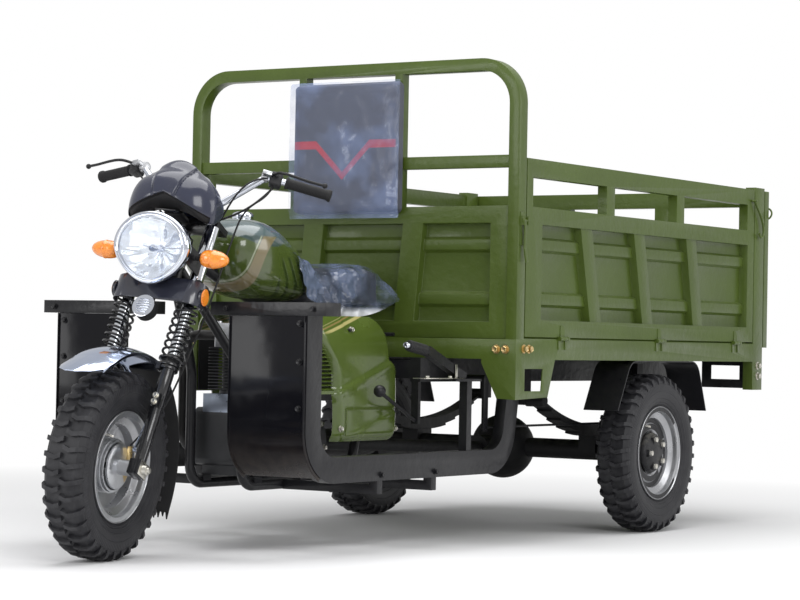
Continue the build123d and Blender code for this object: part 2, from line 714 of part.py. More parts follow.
def rear_axle():
    """Axle tube with the differential, brake drums and shaft nose."""
    reach = rear_track / 2 - 66
    tube = disc(axle_tube_radius, (-reach, reach), rear_axle_x, tyre_radius)
    stub_end = rear_track / 2 - 12
    stubs = disc(axle_stub_radius, (-stub_end, stub_end), rear_axle_x, tyre_radius)
    bowl = Pos(rear_axle_x, 0, tyre_radius) * Sphere(118)
    drums = [disc(108, pair, rear_axle_x, tyre_radius) for pair in ((reach - 40, reach), (-reach, -reach + 40))]
    nose = Pos(rear_axle_x + 130, 0, tyre_radius) * Rot(0, 90, 0) * Cylinder(45, 120)
    arm = block((rear_axle_x + 45, rear_axle_x + 65), (brake_rod_y + 4 + seat_gap, reach - 40), (330, 395))
    return fused([tube, bowl, nose, stubs] + drums + both_sides([arm]))


def propeller_shaft():
    """Shaft from the gearbox to the differential."""
    front = (engine_rear_x - 1.15, 0, 330)
    rear = (rear_axle_x + 192, 0, tyre_radius)
    return round_tube([rear, front], 0, 45)


def leaf_springs():
    """Leaf packs slung under the frame rails."""
    left = []
    # Columns: half length, thickness step from the top leaf
    for half, step in [(430, 0), (370, 1), (300, 2), (230, 3), (160, 4)]:
        sag = 95 * (half / 430) ** 2
        low = spring_top_z - 8.3 * step
        curve = ThreePointArc((rear_axle_x - half, 380, low + sag), (rear_axle_x, 380, low),
                              (rear_axle_x + half, 380, low + sag))
        face = Plane(origin=curve @ 0, x_dir=(0, 1, 0), z_dir=curve % 0) * Rectangle(60, 8.5)
        left.append(sweep(face, path=curve))
    for end in (-430, 430):
        left.append(disc(20, (344, 416), rear_axle_x + end, spring_top_z + 95))
        left.append(block((rear_axle_x + end - 22, rear_axle_x + end + 22), (frame_rail_y + 20 + seat_gap, 346),
                          (spring_top_z + 80, 600)))
    pad = block((rear_axle_x - 50, rear_axle_x + 50), (346, 414), (tyre_radius - 10, spring_top_z - 36))
    left.append(pad - disc(axle_tube_radius + seat_gap, (340, 420), rear_axle_x, tyre_radius))
    return both_sides([fused(left)])


def rear_mudguards():
    """Black guards over the rear wheels with a flap fore and aft."""
    sheet = 4
    top = sill_bottom_z - seat_gap - sheet / 2
    path = FilletPolyline((rear_axle_x + 345, 0, 440), (rear_axle_x + 250, 0, top), (rear_axle_x - 280, 0, top),
                          (rear_axle_x - 355, 0, 432), radius=70)
    middle = rear_track / 2 - 3
    face = Plane(origin=path @ 0, x_dir=(0, 1, 0), z_dir=path % 0) * Pos(middle, 0) * Rectangle(136, sheet)
    return both_sides([sweep(face, path=path)])


def lamp_brackets():
    """Rear plates that carry the tail lamps, each with its cut-out."""
    x = bed_rear_x + 80
    outer = bed_half_width - 40
    plate = block((x, x + 3), (outer - 195, outer), (512, sill_bottom_z))
    window = block((x - 5, x + 8), (outer - 155, outer - 35), (545, 598))
    return both_sides([plate - window])


# Controls by the rider's feet


def gear_lever():
    """Hand gear lever with a ball knob, left of the engine."""
    rod = round_tube([(228, 299, 402), (455, 305, 500)], 0, 12)
    knob = Pos(462, 305, 505) * Sphere(20)
    foot = block((222, 238), (285, 312), (395, rail_top_z - frame_rail_high))
    return fused([rod, knob, foot])


def parking_brake():
    """Hand lever on a bracket above the step rail."""
    mid_y = guard_outer_y - guard_tube_thin / 2
    post = block((165, 195), (mid_y - 15, mid_y + 15), (guard_rail_z + guard_tube_wide / 2, 545))
    plate = block((130, 290), (mid_y - 30, mid_y + 30), (540, 548))
    body = flat_tube([(200, mid_y, 552), (430, mid_y, 640)], 0, 26, 30, (0, 1, 0))
    grip = round_tube([(425, mid_y, 638), (540, mid_y, 655)], 0, 30)
    return fused([post, plate, body, grip])


def foot_brake():
    """Foot brake lever and the rod to the rear drums."""
    lever = block((-15, 15), (brake_rod_y - 10, brake_rod_y - 2), (370, 550))
    pivot = disc(10, (frame_rail_y + 20 + seat_gap, brake_rod_y - 4), 0, 550)
    rod = round_tube([(0, brake_rod_y, 385), (rear_axle_x + 55, brake_rod_y, 385)], 0, 8)
    return fused([lever, pivot, rod])


# Steering, modelled upright about its own axis and then leaned and turned


stanchion_radius = 17.5
stanchion_low = 230
fender_radius = 340
fender_half = 72
ear_side = 112
lamp_centre = Pos(183, 0, 654) * Rot(0, rake, 0)
lamp_radius = 118
cowl_bottom = 122


def fork_yokes():
    """Upper and lower yokes on the steering stem."""
    lower = Pos(18, 0, 605) * Box(84, 2 * fork_half_width + 50, 28)
    upper = Pos(18, 0, 815) * Box(78, 2 * fork_half_width + 46, 20)
    stem = Pos(0, 0, 705) * Cylinder(stem_radius, 230)
    bores = both_sides([Pos(fork_offset, fork_half_width, 705) * Cylinder(stanchion_radius + seat_gap, 260)])
    ear_tube = Pos(fork_offset, fork_half_width, 710) * Cylinder(stanchion_radius + 5, 200)
    ear = block((fork_offset, 158), (ear_side, ear_side + 4), (630, 690))
    boss = disc(9, (88, ear_side + 1), 146, 654)
    link = block((50, 118), (-30, 30), (806, 816))
    shelf = lamp_centre * block((-135, -70), (-35, 35), (cowl_bottom - seat_gap - 5, cowl_bottom - seat_gap))
    return fused([lower, upper, stem, link, shelf] + both_sides([ear_tube, ear, boss])) - bores - lamp_bowl(seat_gap)


def fork_tubes():
    """Chromed stanchions."""
    low, high = stanchion_low + seat_gap, 830
    tube = Pos(fork_offset, fork_half_width, (low + high) / 2) * Cylinder(stanchion_radius, high - low)
    return both_sides([tube])


def fork_sliders():
    """Black lower legs with their collars, pinch lugs, the fender seats and the axle with its nuts."""
    left = []
    # Columns: bottom z, top z, radius
    for low, high, radius in [(-20, 210, 19), (200, 339, 21), (322, 330, 29), (333, 341, 31), (339.6, 352, 28)]:
        left.append(Pos(fork_offset, fork_half_width, (low + high) / 2) * Cylinder(radius, high - low))
    left.append(Pos(fork_offset, fork_half_width, 0) * Box(56, 38, 46))
    left.append(Pos(fork_offset + 24, fork_half_width + 6, 214) * Box(26, 24, 40))
    left.append(block((fork_offset - 25, fork_offset + 25), (fender_half + seat_gap, 86), (316, 340)))
    socket = Pos(fork_offset, fork_half_width, 400) * Cylinder(stanchion_radius + seat_gap, 2 * (400 - stanchion_low))
    end = fork_half_width + 40
    axle = disc(front_axle_radius, (-end, end), fork_offset, 0)
    nuts = both_sides([disc(15, (fork_half_width + 19, fork_half_width + 33), fork_offset, 0)])
    return fused(both_sides(left) + nuts + [axle]) - both_sides([socket])


def fork_springs():
    """Open coil springs around the stanchions, with a seat at each end."""
    turns = 9
    low = 352 + seat_gap
    high = 591 - seat_gap
    mean = 34
    wire = 4
    coil = Helix(pitch=(high - low - 14) / turns, height=high - low - 14, radius=mean)
    start = Plane(origin=coil @ 0, z_dir=coil % 0)
    spring = Pos(0, 0, low + 7) * sweep(start * RegularPolygon(wire, 6), path=coil, is_frenet=True)
    seats = [
        Pos(0, 0, low + 3) * (Cylinder(39, 6) - Cylinder(stanchion_radius + seat_gap, 6)),
        Pos(0, 0, high - 3) * (Cylinder(39, 6) - Cylinder(stanchion_radius + seat_gap, 6)),
    ]
    left = Pos(fork_offset, fork_half_width, 0) * fused(seats + [spring])
    return both_sides([left])


def handlebar():
    """Chromed bar that rises and sweeps back to the grips."""
    x, y, z = bar_foot
    clamp = block((x - 20, x + 20), (15 - y, y - 15), (825 + seat_gap, z + 16))
    return fused([bar_tube(0), clamp])


def bar_tube(extra):
    """The bent bar, grown by a clearance."""
    half = [bar_foot, bar_bend, bar_tip]
    points = [(x, -y, z) for x, y, z in reversed(half)] + half
    return round_tube(points, 38, bar_diameter + 2 * extra)


def along_bar(share, forward=0, inward=0, up=0):
    """Point by the bar's swept end, from its upper bend (share 0) to its tip (share 1)."""
    x, y, z = [low + (high - low) * share for low, high in zip(bar_bend, bar_tip)]
    return (x + forward, y - inward, z + up)


def controls():
    """Grips, lever clamps and levers."""
    grip = round_tube([along_bar(0.3), along_bar(1.01)], 0, grip_diameter)
    clamp = Pos(*along_bar(lever_share, 8)) * Rot(0, 0, 24) * Box(lever_clamp, lever_clamp, lever_clamp_high)
    lever_path = [along_bar(lever_share, 26, 6, 2), along_bar(0.35, 69), along_bar(1.02, 80, 0, -6)]
    lever = round_tube(lever_path, 20, lever_diameter)
    left = fused([grip, clamp, lever]) - bar_tube(seat_gap)
    return both_sides([left])


def instrument_cowl():
    """Dark domed cowl over the headlight with a hood behind the dials, level with the road."""
    side = Polyline((-56, 0, cowl_bottom), (-66, 0, 152), (-121, 0, 222), (-144, 0, 258), (-172, 0, 262),
                    (-230, 0, 160), (-220, 0, 142), (-130, 0, cowl_bottom), close=True)
    body = extrude(make_face(side), amount=134, both=True, dir=(0, 1, 0))
    plan = Polyline((-50, -74), (-50, 74), (-84, 122), (-120, 134), (-190, 128), (-240, 96), (-240, -96), (-190, -128),
                    (-120, -134), (-84, -122), close=True)
    body = body & (Pos(0, 0, 100) * extrude(make_face(plan), amount=200))
    upper = [edge for edge in body.edges() if edge.center().Z > 165]
    hollow = [block((0, 50), (-47, 47), (815, 880)), bar_tube(1.5)]
    return lamp_centre * fillet(upper, 10) - hollow


def lamp_bowl(extra):
    """Domed headlight bowl, grown by a clearance."""
    rim = lamp_radius - 8 + extra
    back = -112 - extra
    dome = ThreePointArc((-9, rim), (-66, 86 + extra), (back, 34 + extra))
    outline = [dome, Line((back, 34 + extra), (back, 0)), Line((back, 0), (-9, 0)), Line((-9, 0), (-9, rim))]
    return lamp_centre * revolve(make_face(outline), Axis.X)


def headlight():
    """Headlight bowl with its chromed rounded bezel."""
    ring = Polyline((-10, lamp_radius - 12), (-10, lamp_radius - 2), (-6, lamp_radius), (2, lamp_radius),
                    (8, lamp_radius - 4), (9, lamp_radius - 12), close=True)
    bezel = lamp_centre * revolve(make_face(ring), Axis.X)
    return fused([lamp_bowl(0), bezel])


def headlight_lens():
    """Clear lens with a gentle dome."""
    edge = lamp_radius - 12 - seat_gap
    front = ThreePointArc((4, edge), dome_middle(4, 14, edge), (14, 0))
    outline = [Line((-8, 0), (-8, edge)), Line((-8, edge), (4, edge)), front, Line((14, 0), (-8, 0))]
    return lamp_centre * revolve(make_face(outline), Axis.X)


def turn_signals():
    """Orange egg-shaped signals on stems beside the headlight."""
    stem = round_tube([(112, ear_side + 4 + seat_gap, 665), (112, 152, 665)], 0, 14)
    along, out = dome_middle(216, 234, 22)
    egg = [Line((0, 144), (20, 144)), ThreePointArc((20, 144), (28, 180), (22, 216)),
           ThreePointArc((22, 216), (out, along), (0, 234)), Line((0, 234), (0, 144))]
    lamp = Pos(118, 0, 665) * revolve(make_face(egg), Axis.Y)
    return both_sides([fused([stem, lamp])])


def fork_cover():
    """Moulded cover below the headlight that wraps round both legs and carries the side reflectors."""
    wall = 3
    radius = 46
    low, high = 531, 606
    tall = high - low
    middle = Pos(fork_offset, 0, (low + high) / 2)
    outer = middle * (Box(2 * radius, 2 * fork_half_width, tall)
                      + both_sides([Pos(0, fork_half_width, 0) * Cylinder(radius, tall)]))
    thin = radius - wall
    inner = middle * (Box(2 * thin, 2 * fork_half_width, tall + 2)
                      + both_sides([Pos(0, fork_half_width, 0) * Cylinder(thin, tall + 2)]))
    keep = block((fork_offset - 12, 200), (-200, 200), (low - 5, high + 5))
    shell = (outer - inner) & keep
    pegs = both_sides([block((60 + seat_gap, fork_offset + thin + 1), (52, 66), (594, 604))])
    lip = block((fork_offset + thin, fork_offset + radius + 3), (-fork_half_width, fork_half_width), (low, low + 5))
    end = fork_half_width + radius
    reflectors = both_sides([disc(26, (end - 6, end + 4), fork_offset + 6, (low + high) / 2)])
    return fused([shell, lip] + pegs + reflectors) - lamp_bowl(seat_gap)


def horn():
    """Round horn with a slotted front under the cover."""
    shell = Pos(104, 0, 490) * Rot(0, 90, 0) * Cylinder(36, 34)
    slots = [block((116, 122), (-26 + abs(z) / 2, 26 - abs(z) / 2), (489 + z, 492 + z)) for z in (-20, -12, -4, 4, 12, 20)]
    strap = block((82, 88), (-12, 12), (500, 531 - seat_gap))
    back = Pos(80, 0, 490) * Rot(0, 90, 0) * Cylinder(20, 20)
    return fused([shell, back, strap]) - slots


def front_fender():
    """Chromed fender with a crowned section, turned-down edges, a pointed visor in front and its stays."""
    crown = 13
    sheet = 2.5
    skirt = 9
    half = fender_half
    outer = ThreePointArc((-half, 0), (0, crown), (half, 0))
    inner = ThreePointArc((half - sheet, 0), (0, crown - sheet), (-half + sheet, 0))
    section = make_face([outer, Line((half, 0), (half, -skirt)), Line((half, -skirt), (half - sheet, -skirt)),
                         Line((half - sheet, -skirt), (half - sheet, 0)), inner,
                         Line((-half + sheet, 0), (-half + sheet, -skirt)), Line((-half + sheet, -skirt), (-half, -skirt)),
                         Line((-half, -skirt), (-half, 0))])
    radius = fender_radius + 2
    visor_length = 132
    arc = CenterArc((0, 0), radius, 129, -63)
    flare = radians(-17)
    visor_line = Line(arc @ 1, arc @ 1 + Vector(cos(flare), sin(flare)) * visor_length)
    path = Plane.XZ * Wire([arc, visor_line])
    start = Plane(origin=path @ 0, x_dir=(0, 1, 0), z_dir=path % 0)
    guard = sweep(start * section, path=path, transition=Transition.RIGHT)
    # Corners cut off the visor: length along it, distance from the middle
    corner = Polyline((50, half + 9), (58, half + 1), (104, half - 20), (visor_length + 1, 16),
                      (visor_length + 9, 16), (visor_length + 9, half + 9), close=True)
    knee = arc @ 1
    lie = Plane(origin=(knee.X, 0, knee.Y), x_dir=(cos(flare), 0, sin(flare)), z_dir=(-sin(flare), 0, cos(flare)))
    cut = lie * Pos(0, 0, -40) * extrude(make_face(corner), amount=80)
    foot = (-25.6, half + sheet / 2, 54.2)
    top = (-radius * sin(radians(36)), half + sheet / 2, radius * cos(radians(36)) - 5)
    stay = flat_tube([top, foot], 0, sheet, 14, (0, 1, 0))
    eye = disc(9, (half, fork_half_width - 19 - seat_gap), foot[0], foot[2])
    return fused([guard - both_sides([cut])] + both_sides([stay, eye]))


def mud_flap():
    """Rubber flap behind the front wheel."""
    radius = fender_radius + 4.4
    ring = turned([(radius - 4, -60), (radius, -60), (radius, 60), (radius - 4, 60)])
    keep = Polyline((0, 0, 0), (-300, 0, 440), (-900, 0, 0), (-600, 0, -300), close=True)
    wedge = extrude(make_face(keep), amount=200, both=True, dir=(0, 1, 0))
    return ring & wedge


def brake_plate():
    """Front brake plate with its ribs, arm and cable stop."""
    plate = turned([(front_axle_radius + seat_gap, 34), (68, 34), (68, 40), (60, 44), (30, 46),
                    (front_axle_radius + seat_gap, 46)])
    boss = disc(24, (30, fork_half_width - 19 - seat_gap))
    arm = block((-50, -36), (44, 56), (-20, 60))
    cam = disc(12, (40, 60), -43, -14)
    return fused([plate, boss, arm, cam]) - disc(front_axle_radius + seat_gap, (0, 120))


# Export

chassis_parts = {
    "frame": frame(),
    "guard_rails": guard_rails(),
    "leg_shields": leg_shields(),
    "bed_floor": bed_floor(),
    "front_arch": front_arch(),
    "front_panel": front_panel(),
    "backrest": backrest(),
    "seat": seat(),
    "fuel_tank": fuel_tank(),
    "side_covers": side_covers(),
    "engine_case": engine_case(),
    "engine_cylinder": engine_cylinder(),
    "exhaust": exhaust(),
    "intake": intake(),
    "rear_axle": rear_axle(),
    "propeller_shaft": propeller_shaft(),
    "leaf_springs": leaf_springs(),
    "rear_mudguards": rear_mudguards(),
    "lamp_brackets": lamp_brackets(),
    "gear_lever": gear_lever(),
    "parking_brake": parking_brake(),
    "foot_brake": foot_brake(),
    "left_board": side_board(),
    "right_board": mirror(side_board(), Plane.XZ),
    "tailgate": tailgate(),
}
steering_parts = {
    "fork_yokes": fork_yokes(),
    "fork_tubes": fork_tubes(),
    "fork_sliders": fork_sliders(),
    "fork_springs": fork_springs(),
    "handlebar": handlebar(),
    "controls": controls(),
    "instrument_cowl": instrument_cowl(),
    "headlight": headlight(),
    "headlight_lens": headlight_lens(),
    "turn_signals": turn_signals(),
    "fork_cover": fork_cover(),
    "horn": horn(),
}
front_end_parts = {
    "front_fender": front_fender(),
    "mud_flap": mud_flap(),
    "brake_plate": brake_plate(),
}
wheel_parts = {
    "rear_left": rear_wheel(),
    "rear_right": rear_wheel(),
    "front": front_wheel(),
}


def save(name, shape, place=Pos(0, 0, 0)):
    """Write one named part, put in its place."""
    shapes = shape if isinstance(shape, list) else [shape]
    export_step(Compound(children=[place * piece for piece in shapes]), f"parts/{name}.step")


os.makedirs("parts", exist_ok=True)
for name, shape in chassis_parts.items():
    save(name, shape)
for name, shape in steering_parts.items():
    save(name, shape, steering_frame)
for name, shape in front_end_parts.items():
    save(name, shape, wheel_centres["front"])
whole_tyre = tyre()
for name, shape in wheel_parts.items():
    save(f"{name}_tyre", whole_tyre, wheel_centres[name])
    save(f"{name}_wheel", shape, wheel_centres[name])
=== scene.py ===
import math
import random

import bmesh
import bpy
from mathutils import Matrix, Vector, noise


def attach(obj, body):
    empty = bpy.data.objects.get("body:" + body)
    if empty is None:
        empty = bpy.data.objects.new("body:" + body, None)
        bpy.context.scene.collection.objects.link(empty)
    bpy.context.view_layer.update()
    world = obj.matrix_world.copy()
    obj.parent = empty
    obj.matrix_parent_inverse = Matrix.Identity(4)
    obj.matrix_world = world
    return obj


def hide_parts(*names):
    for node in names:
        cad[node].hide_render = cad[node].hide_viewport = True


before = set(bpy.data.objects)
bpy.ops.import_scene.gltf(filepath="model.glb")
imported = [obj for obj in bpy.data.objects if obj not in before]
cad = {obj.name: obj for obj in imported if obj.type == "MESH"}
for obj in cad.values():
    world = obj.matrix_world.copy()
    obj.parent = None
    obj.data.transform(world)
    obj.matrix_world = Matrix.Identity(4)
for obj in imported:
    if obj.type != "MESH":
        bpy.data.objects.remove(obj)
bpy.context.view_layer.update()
bpy.ops.object.select_all(action="DESELECT")


# Studio: a pale floor that fades to white, soft light from above and from the camera's
# left. The camera stands low, ahead of the left front corner, as in the photograph.
def add_object(name, data):
    """A new object in the scene."""
    made = bpy.data.objects.new(name, data)
    bpy.context.scene.collection.objects.link(made)
    return made


def plug_of(value):
    """A shader node's first output; anything else as it is."""
    return value.outputs[0] if isinstance(value, bpy.types.Node) else value


def place_node(tree, kind, sockets=None, **settings):
    """Adds a shader node; each socket is given a value, another node or a node's output."""
    made = tree.nodes.new("ShaderNode" + kind)
    for name, value in settings.items():
        setattr(made, name, value)
    for name, value in (sockets or {}).items():
        if isinstance(plug_of(value), bpy.types.NodeSocket):
            tree.links.new(plug_of(value), made.inputs[name])
        else:
            made.inputs[name].default_value = (*value, 1) if made.inputs[name].type == "RGBA" else value
    return made


def maths(tree, kind, *values):
    """Result of a calculation with one or two values."""
    return place_node(tree, "Math", dict(enumerate(values)), operation=kind)


def times(tree, one, two):
    """Product of two values."""
    return maths(tree, "MULTIPLY", one, two)


def ramp(tree, value, low, high, start=0.0, end=1.0, **settings):
    """Takes a value from the range low to high to the range start to end."""
    return place_node(tree, "MapRange", {"Value": value, "From Min": low, "From Max": high,
                                         "To Min": start, "To Max": end}, **settings)


def blank_material(name):
    """A material, its empty tree, and the place on the object that its patterns start from."""
    material = bpy.data.materials.new(name)
    material.use_nodes = True
    tree = material.node_tree
    tree.nodes.clear()
    return material, tree, place_node(tree, "TexCoord").outputs["Object"]


camera_data = bpy.data.cameras.new("camera")
camera = add_object("camera", camera_data)
right = Vector((-0.548111, 0.836182, 0.019307))
up = Vector((0.025856, -0.006132, 0.999647))
back = right.cross(up)
camera.matrix_world = Matrix((
    (right.x, up.x, back.x, 7.41972),
    (right.y, up.y, back.y, 4.80463),
    (right.z, up.z, back.z, 0.66738),
    (0, 0, 0, 1)))
camera_data.lens = 115.1
camera_data.shift_x = 0.0439
camera_data.shift_y = -0.0076
camera_data.clip_end = 100
bpy.context.scene.camera = camera
bpy.context.scene.view_settings.view_transform = "Standard"

world = bpy.data.worlds.new("studio_air")
bpy.context.scene.world = world
world.use_nodes = True
air = world.node_tree
air.nodes.clear()
sees = place_node(air, "LightPath")
seen = maths(air, "MAXIMUM", sees.outputs["Is Camera Ray"], sees.outputs["Is Transmission Ray"])
mirrored = ramp(air, sees.outputs["Is Glossy Ray"], 0.0, 1.0, 0.42, 0.66)
strength = maths(air, "MAXIMUM", mirrored, seen)
sky = place_node(air, "Background", {"Color": (1, 1, 1), "Strength": strength})
place_node(air, "OutputWorld", {"Surface": sky})

bpy.ops.mesh.primitive_plane_add(size=60, location=(0, 0, 0))
floor = bpy.context.object
floor.name = "floor"
floor_paint, tree, spot = blank_material("floor_white")
reach = place_node(tree, "VectorMath", {0: spot}, operation="LENGTH")
fade = ramp(tree, reach.outputs["Value"], 1.6, 4.5)
matt = place_node(tree, "BsdfDiffuse", {"Color": (0.86, 0.86, 0.87)})
glow = place_node(tree, "Emission", {"Color": (1, 1, 1), "Strength": 1.0})
look = place_node(tree, "LightPath")
seen = maths(tree, "MAXIMUM", look.outputs["Is Camera Ray"], look.outputs["Is Transmission Ray"])
seen = maths(tree, "MAXIMUM", seen, look.outputs["Is Glossy Ray"])
share = times(tree, fade, seen)
mixed = place_node(tree, "MixShader", {0: share, 1: matt, 2: glow})
place_node(tree, "OutputMaterial", {"Surface": mixed})
floor.data.materials.append(floor_paint)

# Columns: name, place, aim, width, height, watts
for name, place, aim, wide, high, watts in [
    ("light_top", (0.3, 0.4, 4.6), (0, 0, 0.4), 5.0, 4.0, 190),
    ("light_key", (4.6, 5.2, 3.4), (0.2, 0, 0.7), 3.4, 2.6, 150),
    ("light_side", (-2.6, 5.4, 2.4), (-0.4, 0, 0.7), 3.0, 2.2, 55),
    ("light_front", (6.2, -1.8, 2.2), (0.6, 0, 0.6), 2.4, 2.4, 85),
]:
    lamp = bpy.data.lights.new(name, "AREA")
    lamp.shape = "RECTANGLE"
    lamp.size = wide
    lamp.size_y = high
    lamp.energy = watts
    holder = add_object(name, lamp)
    holder.location = place
    holder.rotation_euler = (Vector(aim) - Vector(place)).to_track_quat("-Z", "Y").to_euler()


# Load bed, arch and drop sides: folded and welded steel, painted green after welding.
# The paint is a semi-gloss enamel with a slight orange peel and dust on what faces up.
# Folded edges are rounded on a copy of each steel piece.
def plus(tree, one, two):
    """Sum of two values."""
    return maths(tree, "ADD", one, two)


def clouds(tree, spot, scale, detail, rough=0.5, bend=0.0, **settings):
    """Noise at a place, from 0 to 1."""
    return place_node(tree, "TexNoise", {"Vector": spot, "Scale": scale, "Detail": detail,
                                         "Roughness": rough, "Distortion": bend}, **settings)


def blend(tree, share, one, two):
    """Mix of two colours."""
    return place_node(tree, "Mix", {0: share, 6: one, 7: two}, data_type="RGBA").outputs[2]


def bump(tree, height, strength, distance):
    """Normal of a surface with a height pattern."""
    return place_node(tree, "Bump", {"Height": height, "Strength": strength, "Distance": distance})


def axes(tree, spot):
    """Coordinates of a place, by their names."""
    return place_node(tree, "SeparateXYZ", {0: spot}).outputs


def finish(material, colour, rough, normal, others):
    """Gives a material its surface and returns it."""
    shader = place_node(material.node_tree, "BsdfPrincipled",
                        {"Base Color": colour, "Roughness": rough, **others})
    if normal is not None:
        material.node_tree.links.new(plug_of(normal), shader.inputs["Normal"])
    place_node(material.node_tree, "OutputMaterial", {"Surface": shader})
    return material


def shader_group(name, **takes):
    """An empty shader group that gives a colour, a roughness and a normal, and what it is given."""
    group = bpy.data.node_groups.new(name, "ShaderNodeTree")
    for way, plugs in (("INPUT", takes), ("OUTPUT", {"Color": "Color", "Roughness": "Float",
                                                     "Normal": "Vector"})):
        for plug, kind in plugs.items():
            group.interface.new_socket(plug, in_out=way, socket_type="NodeSocket" + kind)
    return group, group.nodes.new("NodeGroupInput").outputs


def filled(group, *values):
    """Hands a colour, a roughness and a normal out of a shader group, and returns it."""
    for value, plug in zip(values, group.nodes.new("NodeGroupOutput").inputs):
        group.links.new(plug_of(value), plug)
    return group


def toned(material, group, given, others):
    """Gives a material the surface that a shader group describes."""
    tone = place_node(material.node_tree, "Group", given, node_tree=group).outputs
    return finish(material, tone["Color"], tone["Roughness"], tone["Normal"], others)


def enamel_tone():
    """Shader group: paint colour with slow variation, dust on upward faces and orange peel."""
    group, given = shader_group("enamel_tone", Paint="Color", Dust="Float", Gloss="Float")
    spot = place_node(group, "TexCoord").outputs["Object"]
    shade = ramp(group, clouds(group, spot, 2.3, 3.0), 0.3, 0.7, 0.86, 1.12)
    tinted = place_node(group, "VectorMath", {0: given["Paint"], 1: shade}, operation="MULTIPLY")
    upward = ramp(group, axes(group, place_node(group, "NewGeometry").outputs["Normal"])["Z"], 0.3, 1.0)
    dusty = times(group, upward, ramp(group, clouds(group, spot, 38.0, 6.0), 0.35, 0.75))
    dusty = times(group, dusty, given["Dust"])
    spread = ramp(group, clouds(group, spot, 9.0, 5.0), 0.3, 0.7, -0.05, 0.07)
    rough = plus(group, plus(group, spread, given["Gloss"]), dusty)
    waved = clouds(group, spot, 34.0, 2.0)
    height = plus(group, times(group, clouds(group, spot, 420.0, 1.0), 0.10), waved)
    bumped = bump(group, height, 0.55, 0.0035)
    return filled(group, blend(group, dusty, tinted, (0.42, 0.40, 0.34)), rough, bumped)


enamel_group = enamel_tone()


def enamel(name, colour, gloss, dust, coat=0.0):
    """Painted finish made from the enamel group."""
    return toned(blank_material(name)[0], enamel_group, {"Paint": colour, "Gloss": gloss, "Dust": dust},
                 {"Specular IOR Level": 0.32, "Coat Weight": coat, "Coat Roughness": 0.12})


def select_only(*pieces):
    """Selects the given pieces alone; the first is the active one."""
    bpy.ops.object.select_all(action="DESELECT")
    for piece in pieces:
        piece.select_set(True)
    bpy.context.view_layer.objects.active = pieces[0]


def edit_all(step, **settings):
    """Runs one mesh step over all points of the active piece."""
    bpy.ops.object.mode_set(mode="EDIT")
    bpy.ops.mesh.select_all(action="SELECT")
    step(**settings)
    bpy.ops.object.mode_set(mode="OBJECT")


def coat(piece, *materials):
    """Gives a piece its finishes in place of those it has."""
    piece.data.materials.clear()
    for material in materials:
        piece.data.materials.append(material)


def finish_with(piece, kind, **settings):
    """Adds one modifier and applies it."""
    select_only(piece)
    added = piece.modifiers.new("finish", kind)
    for name, value in settings.items():
        setattr(added, name, value)
    bpy.ops.object.modifier_apply(modifier="finish")
    return piece


def copy_of(node, name):
    """Merged copy of a CAD node, selected alone."""
    piece = cad[node].copy()
    piece.data = cad[node].data.copy()
    piece.name = name
    piece.parent = None
    for key in list(piece.keys()):
        del piece[key]
    bpy.context.scene.collection.objects.link(piece)
    select_only(piece)
    edit_all(bpy.ops.mesh.remove_doubles, threshold=0.00002)
    return piece


def rounded(node, width, material, body, segments=2, angle=32):
    """Copy of a CAD node with its sharp edges rounded, shown in its place."""
    piece = copy_of(node, node + "_finished")
    if width > 0:
        edit_all(bpy.ops.mesh.dissolve_limited, angle_limit=math.radians(0.6))
        finish_with(piece, "BEVEL", width=width, segments=segments, limit_method="ANGLE",
                    angle_limit=math.radians(38), use_clamp_overlap=True)
    bpy.ops.object.shade_smooth_by_angle(angle=math.radians(angle))
    coat(piece, material)
    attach(piece, body)
    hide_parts(node)
    piece.select_set(False)
    return piece


green = enamel("green_enamel", (0.064, 0.098, 0.014), 0.36, 0.10, 0.12)
rounded("bed_floor", 0.0015, green, "chassis")
rounded("front_arch", 0.004, green, "chassis")
for node, body in [("front_panel", "chassis"), ("left_board", "left_board_body"),
                   ("right_board", "right_board_body"), ("tailgate", "tailgate_body")]:
    rounded(node, 0.0025, green, body)


# Bolts that hold the bed's corners, the shields and the mudguards: pressed hexagon heads on
# washers, zinc plated. One bolt is modelled and copied to every hole.
def metal_tone():
    """Shader group: bare or plated metal with smears, fine grain and a slight waviness."""
    group, given = shader_group("metal_tone", Paint="Color", Gloss="Float", Smears="Float", Grain="Float")
    spot = place_node(group, "TexCoord").outputs["Object"]
    spread = ramp(group, clouds(group, spot, 14.0, 5.0, rough=0.62), 0.32, 0.70, -0.5, 0.8)
    smear = times(group, spread, given["Smears"])
    rough = maths(group, "MAXIMUM", plus(group, smear, given["Gloss"]), 0.02)
    shade = maths(group, "SUBTRACT", 1.0, smear)
    tinted = place_node(group, "VectorMath", {0: given["Paint"], 1: shade}, operation="MULTIPLY")
    waved = times(group, clouds(group, spot, 11.0, 1.0), 0.9)
    height = plus(group, times(group, clouds(group, spot, 700.0, 2.0), given["Grain"]), waved)
    return filled(group, tinted, rough, bump(group, height, 0.18, 0.001))


metal_group = metal_tone()


def metal(name, colour, gloss, smears=0.06, grain=0.2, metallic=1.0, coating=0.0):
    """Metal finish made from the metal group."""
    return toned(blank_material(name)[0], metal_group,
                 {"Paint": colour, "Gloss": gloss, "Smears": smears, "Grain": grain},
                 {"Metallic": metallic, "Coat Weight": coating})


def place_in_mesh(piece):
    """Moves a piece's place into its mesh."""
    select_only(piece)
    bpy.ops.object.transform_apply(location=True, rotation=True, scale=True)
    return piece


def settle(piece, name, material, body, angle=35):
    """Names a modelled piece, puts its place into its mesh, and gives it its finish and its body."""
    place_in_mesh(piece)
    bpy.ops.object.shade_smooth_by_angle(angle=math.radians(angle))
    piece.name = name
    if material is not None:
        coat(piece, material)
    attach(piece, body)
    piece.select_set(False)
    return piece


